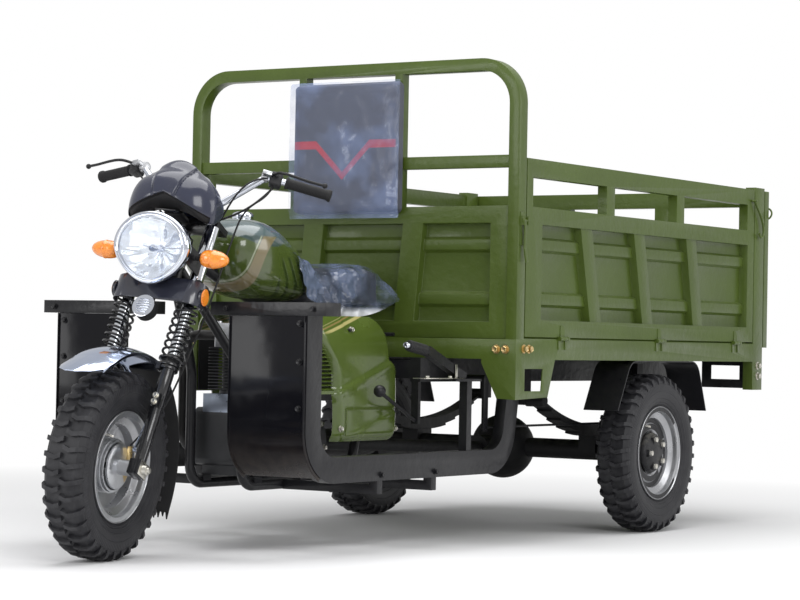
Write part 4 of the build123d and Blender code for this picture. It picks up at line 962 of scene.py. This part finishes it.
# Fork: black painted lower legs, chromed stanchions inside open coil springs, and black yokes.
fork_black = enamel("fork_black", (0.010, 0.010, 0.012), 0.16, 0.12, 0.7)
spring_black = enamel("spring_black", (0.012, 0.012, 0.014), 0.22, 0.15, 0.5)
stanchion_chrome = metal("stanchion_chrome", (0.68, 0.70, 0.74), 0.05, 0.03, 0.05)
back_to_steer = steer.inverted()


def slider_pick(place):
    """The axle's ends, and the legs."""
    here = back_to_steer @ place
    return 1 if (here - Vector((0.040, 0, 0))).xz.length < 0.0155 and abs(here.y) > 0.1228 else 0


def yoke_pick(place):
    """What shows of the stanchions between the yokes, and the yokes."""
    here = back_to_steer @ place
    return 1 if 0.622 < here.z < 0.803 and math.hypot(here.x - 0.040, abs(here.y) - 0.104) < 0.0285 else 0


dressed("fork_sliders", [fork_black, zinc_pale], slider_pick, "steering", 0.002)
rounded("fork_springs", 0.0, spring_black, "steering", 2, 65)
dressed("fork_yokes", [black, stanchion_chrome], yoke_pick, "steering", 0.0015)
coat(cad["fork_tubes"], stanchion_chrome)
leg_bolts = [((0.077, side * 0.110, z), (1, 0, 0)) for side in (-1, 1) for z in (0.204, 0.224)]
settle(copies(small_bolt, leg_bolts, steer), "fork_pinch_bolts", zinc_pale, "steering")
yoke_bolts = [((0.040, side * 0.104, 0.829), (0, 0, 1)) for side in (-1, 1)]
yoke_bolts.append(((0.0, 0.0, 0.825), (0, 0, 1)))
settle(copies(large_bolt, yoke_bolts, steer), "yoke_nuts", zinc_pale, "steering")


# Front fender: pressed and chromed, with a slightly wavy surface, on flat chromed stays.
# The fender's chrome is tinted blue as a painted reflection of the sky.
fender_chrome_painted_sky = metal("fender_chrome_painted_sky", (0.50, 0.56, 0.70), 0.10, 0.06, 0.05)
rounded("front_fender", 0.0006, fender_chrome_painted_sky, "steering")
fender_bolts = []
for side in (-1, 1):
    fender_bolts += [((-0.0256, side * 0.085, 0.0542), (0, side, 0)),
                     ((-0.184, side * 0.075, 0.262), (0, side, 0))]
settle(copies(small_bolt, fender_bolts, front_hub), "fender_bolts", zinc_pale, "steering")
for master in (small_bolt, large_bolt):
    bpy.data.objects.remove(master)


# Mud flap: rubber sheet that was cut by hand, with a ragged fringe along its lower edge.
rounded("mud_flap", 0.0006, soft_black, "steering")
fringe = []
strip_of = random.Random(7)
lowest = min((front_hub.inverted() @ vertex.co for vertex in cad["mud_flap"].data.vertices),
             key=lambda spot: spot.z)
for i in range(8):
    y = -0.0525 + 0.015 * i
    long = 0.012 + 0.016 * strip_of.random()
    strip = box((0, 0, 0), (1, 1, 1))
    bpy.ops.object.mode_set(mode="EDIT")
    shape = bmesh.from_edit_mesh(strip.data)
    for vertex in shape.verts:
        tip = vertex.co.z < 0
        half = 0.0014 if tip else 0.0074
        vertex.co = Vector((math.copysign(0.0015, vertex.co.x) - (0.006 * long / 0.04 if tip else 0.0),
                            math.copysign(half, vertex.co.y) + (0.003 if tip else 0.0),
                            -long if tip else 0.012))
    bmesh.update_edit_mesh(strip.data)
    bpy.ops.object.mode_set(mode="OBJECT")
    strip.data.transform(front_hub @ Matrix.Translation((lowest.x - 0.0010, y, lowest.z)) @ turned(-14, "Y"))
    fringe.append(strip)
settle(join_all(fringe), "flap_fringe", soft_black, "steering")


# Front brake: cast aluminium plate with ribs, a plated arm and the cable that comes down behind
# the leg from the lever on the bar.
dressed("brake_plate", [alloy, zinc_gold],
        lambda place: 1 if (to_front @ place).x < -0.034 and (to_front @ place).y > 0.0435 else 0,
        "steering", 0.0015)
cable_black = plastic("cable_black", (0.009, 0.009, 0.010), 0.38, 0.1)


def control_cable(name, route, diameter=0.006):
    """Sheathed control cable along a smooth line, given in the steering frame."""
    cable = bent_line(name, route, diameter / 2, steer, 8, 3)
    coat(cable, cable_black)
    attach(cable, "steering")


control_cable("brake_cable", [
    (-0.002, 0.238, 0.986), (-0.002, 0.238, 0.954), (-0.006, 0.165, 0.900), (-0.030, 0.142, 0.800),
    (-0.038, 0.130, 0.560), (-0.006, 0.132, 0.400), (-0.008, 0.112, 0.250), (-0.008, 0.081, 0.172),
    (0.0278, 0.050, 0.0749)])


# Headlight: chromed bowl and bezel, a faceted reflector with its bulb, and a clear domed glass,
# a little narrower below than above. Nothing is written on the glass.
lamp = steer @ Matrix.Translation((0.183, 0, 0.654)) @ turned(RAKE, "Y")


def spun(name, outline, frame_of, steps=64, shape_it=None):
    """Solid of revolution about the frame's X, from (along, radius) points in millimetres."""
    mesh = bpy.data.meshes.new(name)
    edges = [(i, i + 1) for i in range(len(outline) - 1)]
    mesh.from_pydata([(x / 1000, 0, radius / 1000) for x, radius in outline], edges, [])
    piece = add_object(name, mesh)
    select_only(piece)
    edit_all(bpy.ops.mesh.spin, steps=steps, angle=math.tau, center=(0, 0, 0), axis=(1, 0, 0))
    edit_all(bpy.ops.mesh.remove_doubles, threshold=0.00001)
    edit_all(bpy.ops.mesh.normals_make_consistent, inside=False)
    if shape_it is not None:
        for vertex in piece.data.vertices:
            vertex.co = shape_it(vertex.co)
    piece.data.transform(frame_of)
    return piece


def lamp_shape(spot):
    """Draws the round lamp in towards its lower end."""
    low = max(0.0, -spot.z / 0.118)
    return Vector((spot.x, spot.y * 1.085 * (1.0 - 0.24 * low ** 1.4), spot.z * 0.94 + 0.001))


bowl = spun("headlight_bowl", [(-112, 0), (-112, 20), (-108, 36), (-92, 62), (-66, 86), (-36, 101),
                               (-9, 110), (-9, 106), (-36, 97), (-62, 83), (-90, 56), (-104, 30), (-106, 0)],
            lamp, 56, lamp_shape)
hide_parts("headlight")
settle(bowl, "headlight_bowl", soft_black, "steering", 50)
bezel = spun("headlight_bezel", [(-52, 103), (-44, 110.5), (-18, 116.5), (-4, 118), (2, 116.5), (6, 112.5),
                                 (7, 108.5), (4.5, 106.5), (4.5, 103.5), (6.5, 101.5), (5.5, 99), (0, 98.5),
                                 (-12, 102), (-44, 102), (-52, 103)], lamp, 96, lamp_shape)
settle(bezel, "headlight_bezel", chrome, "steering", 50)


def reflector_chrome_painted_glow():
    """Vacuum-plated reflector with fan-shaped facets and a faint painted glow."""
    material, tree, spot = blank_material("reflector_chrome_painted_glow")
    local = place_in(tree, spot, lamp)
    split = axes(tree, local)
    fan = maths(tree, "SINE", times(tree, maths(tree, "ARCTAN2", split["Y"], split["Z"]), 9.0))
    height = plus(tree, fan, maths(tree, "SINE", times(tree, split["Z"], 150.0)))
    bumped = bump(tree, height, 0.5, 0.004)
    haze = clouds(tree, local, 40.0, 3.0)
    rough = ramp(tree, haze, 0.0, 1.0, 0.14, 0.28)
    tint = blend(tree, haze, (0.84, 0.87, 0.92), (0.94, 0.95, 0.97))
    # The faint emission is a painted glow; the lamp itself is not lit.
    return finish(material, tint, rough, bumped, {"Metallic": 0.75, "Emission Color": (0.92, 0.95, 1.0),
                                                  "Emission Strength": 0.04})


inner = spun("headlight_reflector", [(-4, 101), (-22, 90), (-42, 70), (-56, 46), (-64, 24), (-66, 12),
                                     (-66.5, 0)], lamp, 72, lamp_shape)
settle(inner, "headlight_reflector", reflector_chrome_painted_glow(), "steering", 60)
bulb = spun("headlight_bulb", [(-66, 0), (-66, 11), (-50, 11), (-48, 9), (-40, 10), (-26, 9), (-20, 5),
                               (-18, 0)], lamp, 24)
shade_cap = spun("headlight_shade", [(-30, 10), (-18, 11.5), (-8, 10), (-5, 5), (-4, 0)], lamp, 24)
settle(bulb, "headlight_bulb", metal("bulb_grey", (0.55, 0.60, 0.72), 0.12, 0.1, 0.2, 0.6), "steering",
       40)
settle(shade_cap, "headlight_shade", metal("shade_blue", (0.20, 0.24, 0.34), 0.15, 0.1, 0.2, 0.8),
       "steering", 40)


def clear_glass():
    """Clear moulded lens with faint prisms."""
    material, tree, spot = blank_material("lens_glass")
    prisms = clouds(tree, spot, 26.0, 2.0)
    bumped = bump(tree, prisms, 0.35, 0.002)
    rough = ramp(tree, prisms, 0.0, 1.0, 0.02, 0.05)
    return finish(material, (0.95, 0.97, 1.0), rough, bumped, {"IOR": 1.45, "Transmission Weight": 1.0})


glass = spun("headlight_glass", [(13.5, 0), (12.8, 30), (10.5, 60), (7, 85), (3, 101), (0.5, 101), (4.5, 85),
                                 (8, 60), (10.3, 30), (11, 0)], lamp, 72, lamp_shape)
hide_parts("headlight_lens")
settle(glass, "headlight_glass", clear_glass(), "steering", 50)


# Turn signals: orange moulded eggs with a seam ring, on short black rubber stems.
def orange_lens(name, pattern):
    """Orange see-through plastic: deep colour with a prism pattern inside, a hard gloss and a faint painted
    glow.
    """
    material, tree, spot = blank_material(name)
    cells = place_node(tree, "TexVoronoi", {"Vector": spot, "Scale": pattern})
    share = times(tree, ramp(tree, cells, 0.1, 0.75), clouds(tree, spot, 38.0, 3.0))
    tint = blend(tree, share, (0.98, 0.34, 0.030), (0.62, 0.10, 0.006))
    # Painted glow: a faint orange emission, though neither signals nor reflectors are lit.
    lit = blend(tree, share, (0.9, 0.26, 0.02), (0.4, 0.05, 0.0))
    bumped = bump(tree, cells, 0.25, 0.001)
    return finish(material, tint, 0.18, bumped, {"Emission Color": lit, "Emission Strength": 0.12,
                                                 "Coat Weight": 1.0, "Coat Roughness": 0.03})


signal_orange = orange_lens("signal_orange", 210.0)
eggs, stems = [], []
for side in (-1, 1):
    outward = steer @ Matrix.Translation((0.118, 0, 0.665)) @ turned(90 * side, "Z")
    eggs.append(spun("egg", [(144, 0), (144.5, 14), (148, 21.5), (156, 25.5), (168, 27.8), (182, 28.2),
                             (184, 29), (187, 29), (189, 27.8), (202, 25.5), (216, 21.2), (227, 14.5),
                             (232.5, 7.5), (234, 0)], outward, 40))
    stems.append(spun("stem", [(116.5, 0), (116.5, 9.5), (122, 9.8), (124, 7.8), (130, 9.8), (132, 7.8),
                               (138, 9.8), (141, 14), (147, 17), (149, 0)], outward, 24))
signals = join_all(eggs)
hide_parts("turn_signals")
settle(signals, "signal_lenses", signal_orange, "steering", 50)
settle(join_all(stems), "signal_stems", soft_black, "steering", 40)


# Cover below the headlight: moulded shell in dark blue-grey under a clear wrap, with an orange
# reflector at each end. It carries no writing. The horn under it has a chromed slotted front.
def wrapped_plastic():
    """Dark moulded plastic under wrinkled clear film, painted lighter along the film's folds as a painted
    highlight.
    """
    material, tree, spot = blank_material("wrapped_plastic")
    folds = clouds(tree, spot, 22.0, 4.0, bend=0.8, noise_type="RIDGED_MULTIFRACTAL")
    # Painted highlight: the film's fold ridges are painted a lighter blue-grey.
    sharp = ramp(tree, folds, 1.2, 2.0)
    tint = blend(tree, sharp, (0.026, 0.028, 0.042), (0.20, 0.21, 0.27))
    bumped = bump(tree, folds, 0.3, 0.002)
    rough = ramp(tree, sharp, 0.0, 1.0, 0.22, 0.34)
    return finish(material, tint, rough, bumped, {"Coat Weight": 0.7, "Coat Roughness": 0.08})


reflector_orange = orange_lens("reflector_orange", 320.0)


def cover_pick(place):
    """Reflector discs at the cover's ends, with a dark rim, and the shell."""
    here = back_to_steer @ place
    if abs(here.y) > 0.1495:
        return 1 if math.hypot(here.x - 0.046, here.z - 0.5685) < 0.0235 else 2
    return 0


dressed("fork_cover", [wrapped_plastic(), reflector_orange, soft_black], cover_pick, "steering",
        0.0012)
discs = []
for side in (-1, 1):
    outward = steer @ Matrix.Translation((0.046, 0, 0.5685)) @ turned(90 * side, "Z")
    discs.append(spun("disc", [(153.5, 23.8), (156, 23), (156.8, 18), (157.2, 0)], outward, 36))
settle(join_all(discs), "side_reflectors", reflector_orange, "steering", 50)
dressed("horn", [soft_black, chrome],
        lambda place: 1 if (back_to_steer @ place).x > 0.1145 and (back_to_steer @ place).z < 0.53 else 0,
        "steering", 0.001)


# Instrument cowl: glossy blue-grey moulding with a hump in the middle, a hood behind it and two
# lobes; its front is cut away below in a dark concave band. The dials look back at the rider.
cowl_grey = plastic("cowl_grey", (0.028, 0.032, 0.058), 0.16, 0.03, 0.55)
# Millimetres: y, then (x, z) from the front lip over the top to the rear edge and back below
cowl_stations = [
    (0, [(-54, 160), (-60, 178), (-78, 208), (-100, 228), (-122, 236), (-140, 258), (-166, 264), (-200, 232),
        (-226, 170), (-214, 146), (-150, 128), (-94, 126), (-82, 140)]),
    (36, [(-54, 157), (-59, 176), (-74, 205), (-96, 224), (-120, 231), (-139, 249), (-166, 254), (-200, 224),
         (-225, 166), (-213, 144), (-150, 127), (-94, 125), (-80, 138)]),
    (62, [(-57, 146), (-61, 166), (-74, 192), (-94, 211), (-118, 220), (-140, 229), (-166, 231), (-198, 208),
         (-222, 160), (-210, 141), (-150, 124), (-94, 120), (-80, 130)]),
    (88, [(-66, 126), (-67, 152), (-78, 184), (-96, 204), (-118, 214), (-142, 217), (-168, 213), (-196, 192),
         (-216, 153), (-204, 136), (-150, 114), (-102, 108), (-86, 114)]),
    (110, [(-82, 108), (-80, 136), (-88, 166), (-104, 187), (-124, 197), (-144, 199), (-166, 194),
          (-190, 174), (-206, 146), (-194, 130), (-150, 104), (-114, 98), (-98, 100)]),
    (126, [(-104, 102), (-100, 122), (-106, 148), (-118, 164), (-134, 172), (-148, 173), (-164, 168),
          (-182, 154), (-192, 138), (-182, 124), (-152, 104), (-128, 97), (-114, 98)]),
    (132, [(-120, 106), (-118, 120), (-122, 136), (-130, 146), (-140, 150), (-150, 150), (-160, 147),
          (-172, 140), (-178, 130), (-170, 120), (-152, 108), (-138, 104), (-128, 104)]),
]
half_rings = [[(x / 1000, y / 1000, z / 1000) for x, z in outline] for y, outline in cowl_stations]
rings = [[(x, -y, z) for x, y, z in ring] for ring in reversed(half_rings[1:])] + half_rings
cowl = lofted("cowl_shell", rings, True)
coat(cowl, cowl_grey, soft_black)
finish_with(cowl, "SUBSURF", levels=4, render_levels=4)


def below_band(spot):
    """How far a place lies below the upper edge of the cowl's dark band."""
    return 0.174 - 0.30 * abs(spot.y) - 1.2 * spot.y ** 2 - spot.z if spot.x > -0.104 else -1.0


for face in cowl.data.polygons:
    face.material_index = 1 if below_band(face.center) > 0 else 0
for vertex, way in [(vertex, vertex.normal.copy()) for vertex in cowl.data.vertices]:
    spot = vertex.co.copy()
    if below_band(spot) > 0:
        vertex.co = vertex.co - Vector((0.009 * min(1.0, below_band(spot) / 0.005), 0, 0))
    elif spot.x > -0.150:
        side_of = abs(spot.y) - (0.036 + 0.28 * (spot.z - 0.175))
        vertex.co = vertex.co + way * 0.0045 * min(1.0, max(0.0, -side_of / 0.006))
        vertex.co = vertex.co - way * 0.0030 * max(0.0, 1.0 - abs(side_of) / 0.004)
grow = Matrix.Translation((0.014, 0, 0.180)) @ Matrix.Diagonal((1.08, 1.12, 1.17, 1))
cowl.data.transform(lamp @ grow @ Matrix.Translation((0, 0, -0.180)))
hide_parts("instrument_cowl")
settle(cowl, "cowl_shell", None, "steering", 70)
gauges, faces_of = [], []
for side in (-1, 1):
    look = lamp @ Matrix.Translation((-0.208, side * 0.046, 0.196)) @ turned(204, "Y")
    gauges.append(spun("ring", [(-12, 40), (4, 40), (8, 38), (8, 34), (1, 33), (-12, 33)], look, 40))
    faces_of.append(spun("face", [(-10, 33.5), (2, 33.5), (2, 0)], look, 40))
settle(join_all(gauges), "gauge_rings", chrome, "steering", 40)


def dial_paint():
    """Dark dial with a pale scale ring under glass."""
    material, tree, spot = blank_material("dial_face")
    split = axes(tree, place_in(tree, spot, lamp))
    across = maths(tree, "SUBTRACT", maths(tree, "ABSOLUTE", split["Y"]), 0.046)
    up = times(tree, maths(tree, "SUBTRACT", split["Z"], 0.196), 1.09)
    flat = place_node(tree, "CombineXYZ", {0: across, 1: up})
    away = place_node(tree, "VectorMath", {0: flat}, operation="LENGTH")
    teeth = maths(tree, "SINE", times(tree, maths(tree, "ARCTAN2", across, up), 24.0))
    outside = ramp(tree, away.outputs["Value"], 0.0300, 0.0295)
    mask = times(tree, ramp(tree, away.outputs["Value"], 0.0235, 0.0240), outside)
    mask = times(tree, mask, ramp(tree, teeth, 0.75, 0.85))
    tint = blend(tree, mask, (0.010, 0.012, 0.018), (0.75, 0.76, 0.78))
    return finish(material, tint, 0.3, None, {"Coat Weight": 1.0, "Coat Roughness": 0.02})


settle(join_all(faces_of), "gauge_faces", dial_paint(), "steering", 40)


# Handlebar: chromed tube in a forged clamp. Ribbed rubber grips, black switch blocks, alloy
# lever clamps and black levers with ball ends; the cables hang in loops between bar and cowl.
rounded("handlebar", 0.001, chrome, "steering")
bar_bend = Vector((0.008, 0.215, 1.010))
bar_tip = Vector((-0.075, 0.400, 1.006))
bar = Matrix.Translation(bar_bend) @ (bar_tip - bar_bend).to_track_quat("X", "Z").to_matrix().to_4x4()


def ribbed(start, pitch, count, profile):
    """Outline of equal ribs along a grip, in millimetres."""
    return [(start + pitch * i + step, radius) for i in range(count) for step, radius in profile]


grip_line = [(62, 11.2), (62, 18.5), (66, 19.5), (70, 17.0)]
grip_line += ribbed(72, 4.6, 26, [(0, 15.8), (1.2, 16.6), (3, 16.6), (4, 15.8)])
grip_line += [(196, 17.2), (200, 19.5), (206, 19.5), (209, 15.0), (209, 0)]
grips, switches, levers, clamps = [], [], [], []
for side in (-1, 1):
    flip = steer @ Matrix.Diagonal((1, side, 1, 1))
    grips.append(spun("grip", grip_line, flip @ bar, 24))
    block = place_in_mesh(box((0.031, 0, -0.001), (0.038, 0.040, 0.044)))
    finish_with(block, "BEVEL", width=0.007, segments=3)
    knob = place_in_mesh(drum(20, 0.006, 0.014, (0.031, -0.022, 0.006), (math.radians(90), 0, 0)))
    switches.append(join_all([block, knob]))
    band = place_in_mesh(drum(28, 0.0165, 0.022, (-0.004, 0, 0), (0, math.radians(90), 0)))
    jaw = place_in_mesh(box((0.002, -0.024, 0.001), (0.030, 0.030, 0.013)))
    clamps.append(finish_with(join_all([band, jaw]), "BEVEL", width=0.002, segments=2))
    for piece in (switches[-1], clamps[-1]):
        piece.data.transform(flip @ bar)
    lever = rod("lever", [(0.020, 0.240, 1.012), (0.040, 0.262, 1.012), (0.050, 0.288, 1.009),
                          (0.040, 0.330, 1.003), (0.018, 0.380, 0.999), (0.004, 0.412, 1.000)],
                0.0045, flip, 6)
    bpy.ops.mesh.primitive_uv_sphere_add(segments=16, ring_count=10, radius=0.0085,
                                         location=(0.002, 0.415, 1.000))
    ball = place_in_mesh(bpy.context.object)
    ball.data.transform(flip)
    levers.append(join_all([lever, ball]))


def face_out(piece):
    """Turns the faces outwards after a mirrored copy."""
    select_only(piece)
    edit_all(bpy.ops.mesh.normals_make_consistent, inside=False)
    return piece


grip_set = face_out(join_all(grips))
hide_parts("controls")
settle(grip_set, "hand_grips", soft_black, "steering", 40)
settle(face_out(join_all(switches)), "switch_blocks", box_plastic, "steering", 40)
settle(face_out(join_all(clamps)), "lever_clamps", alloy, "steering", 40)
settle(face_out(join_all(levers)), "hand_levers", cable_black, "steering", 50)
control_cable("clutch_cable", [(0.018, 0.226, 1.002), (0.040, 0.200, 0.988), (0.050, 0.160, 0.940),
                               (0.020, 0.120, 0.880), (-0.006, 0.098, 0.850), (-0.012, 0.070, 0.838)])
control_cable("throttle_cable", [(0.016, -0.232, 0.990), (0.034, -0.190, 0.960), (0.030, -0.140, 0.900),
                                 (0.000, -0.110, 0.860), (-0.012, -0.075, 0.838)])
control_cable("switch_wires", [(-0.016, 0.236, 0.989), (-0.024, 0.206, 0.952), (-0.026, 0.150, 0.900),
                               (-0.020, 0.096, 0.868), (-0.012, 0.050, 0.838)], 0.007)


# Parking brake: rubber grip with raised rings and a bright release button at its end. Zinc
# plated strips and two bolts show on the bracket that carries the lever.
grip_way = Vector((0.115, 0.0, 0.017)).to_track_quat("X", "Z").to_matrix().to_4x4()
along_grip = Matrix.Translation((0.425, 0.460, 0.638)) @ grip_way
ribs = [(12, 15.0), (12, 17.0)] + ribbed(14, 8.8, 11, [(0, 16.2), (1.6, 18.6), (4.8, 18.6), (6.4, 16.2)])
ribs += [(113, 17.0), (117, 15.0), (117.5, 0)]
settle(spun("brake_grip", ribs, along_grip, 28), "brake_grip", cable_black, "chassis", 40)
button = spun("brake_button", [(116, 10.5), (128, 10.5), (132, 8.5), (133, 0)], along_grip, 24)
settle(button, "brake_button", chrome, "chassis", 40)
strips = [box((0.350, 0.460, 0.5498), (0.240, 0.050, 0.0026)),
          box((0.268, 0.4765, 0.572), (0.014, 0.0025, 0.046))]
strips += [drum(6, 0.0075, 0.007, (x, 0.472, 0.5545)) for x in (0.300, 0.440)]
settle(finish_with(join_all(strips), "BEVEL", width=0.0012, segments=2), "brake_bracket", zinc_pale,
       "chassis")
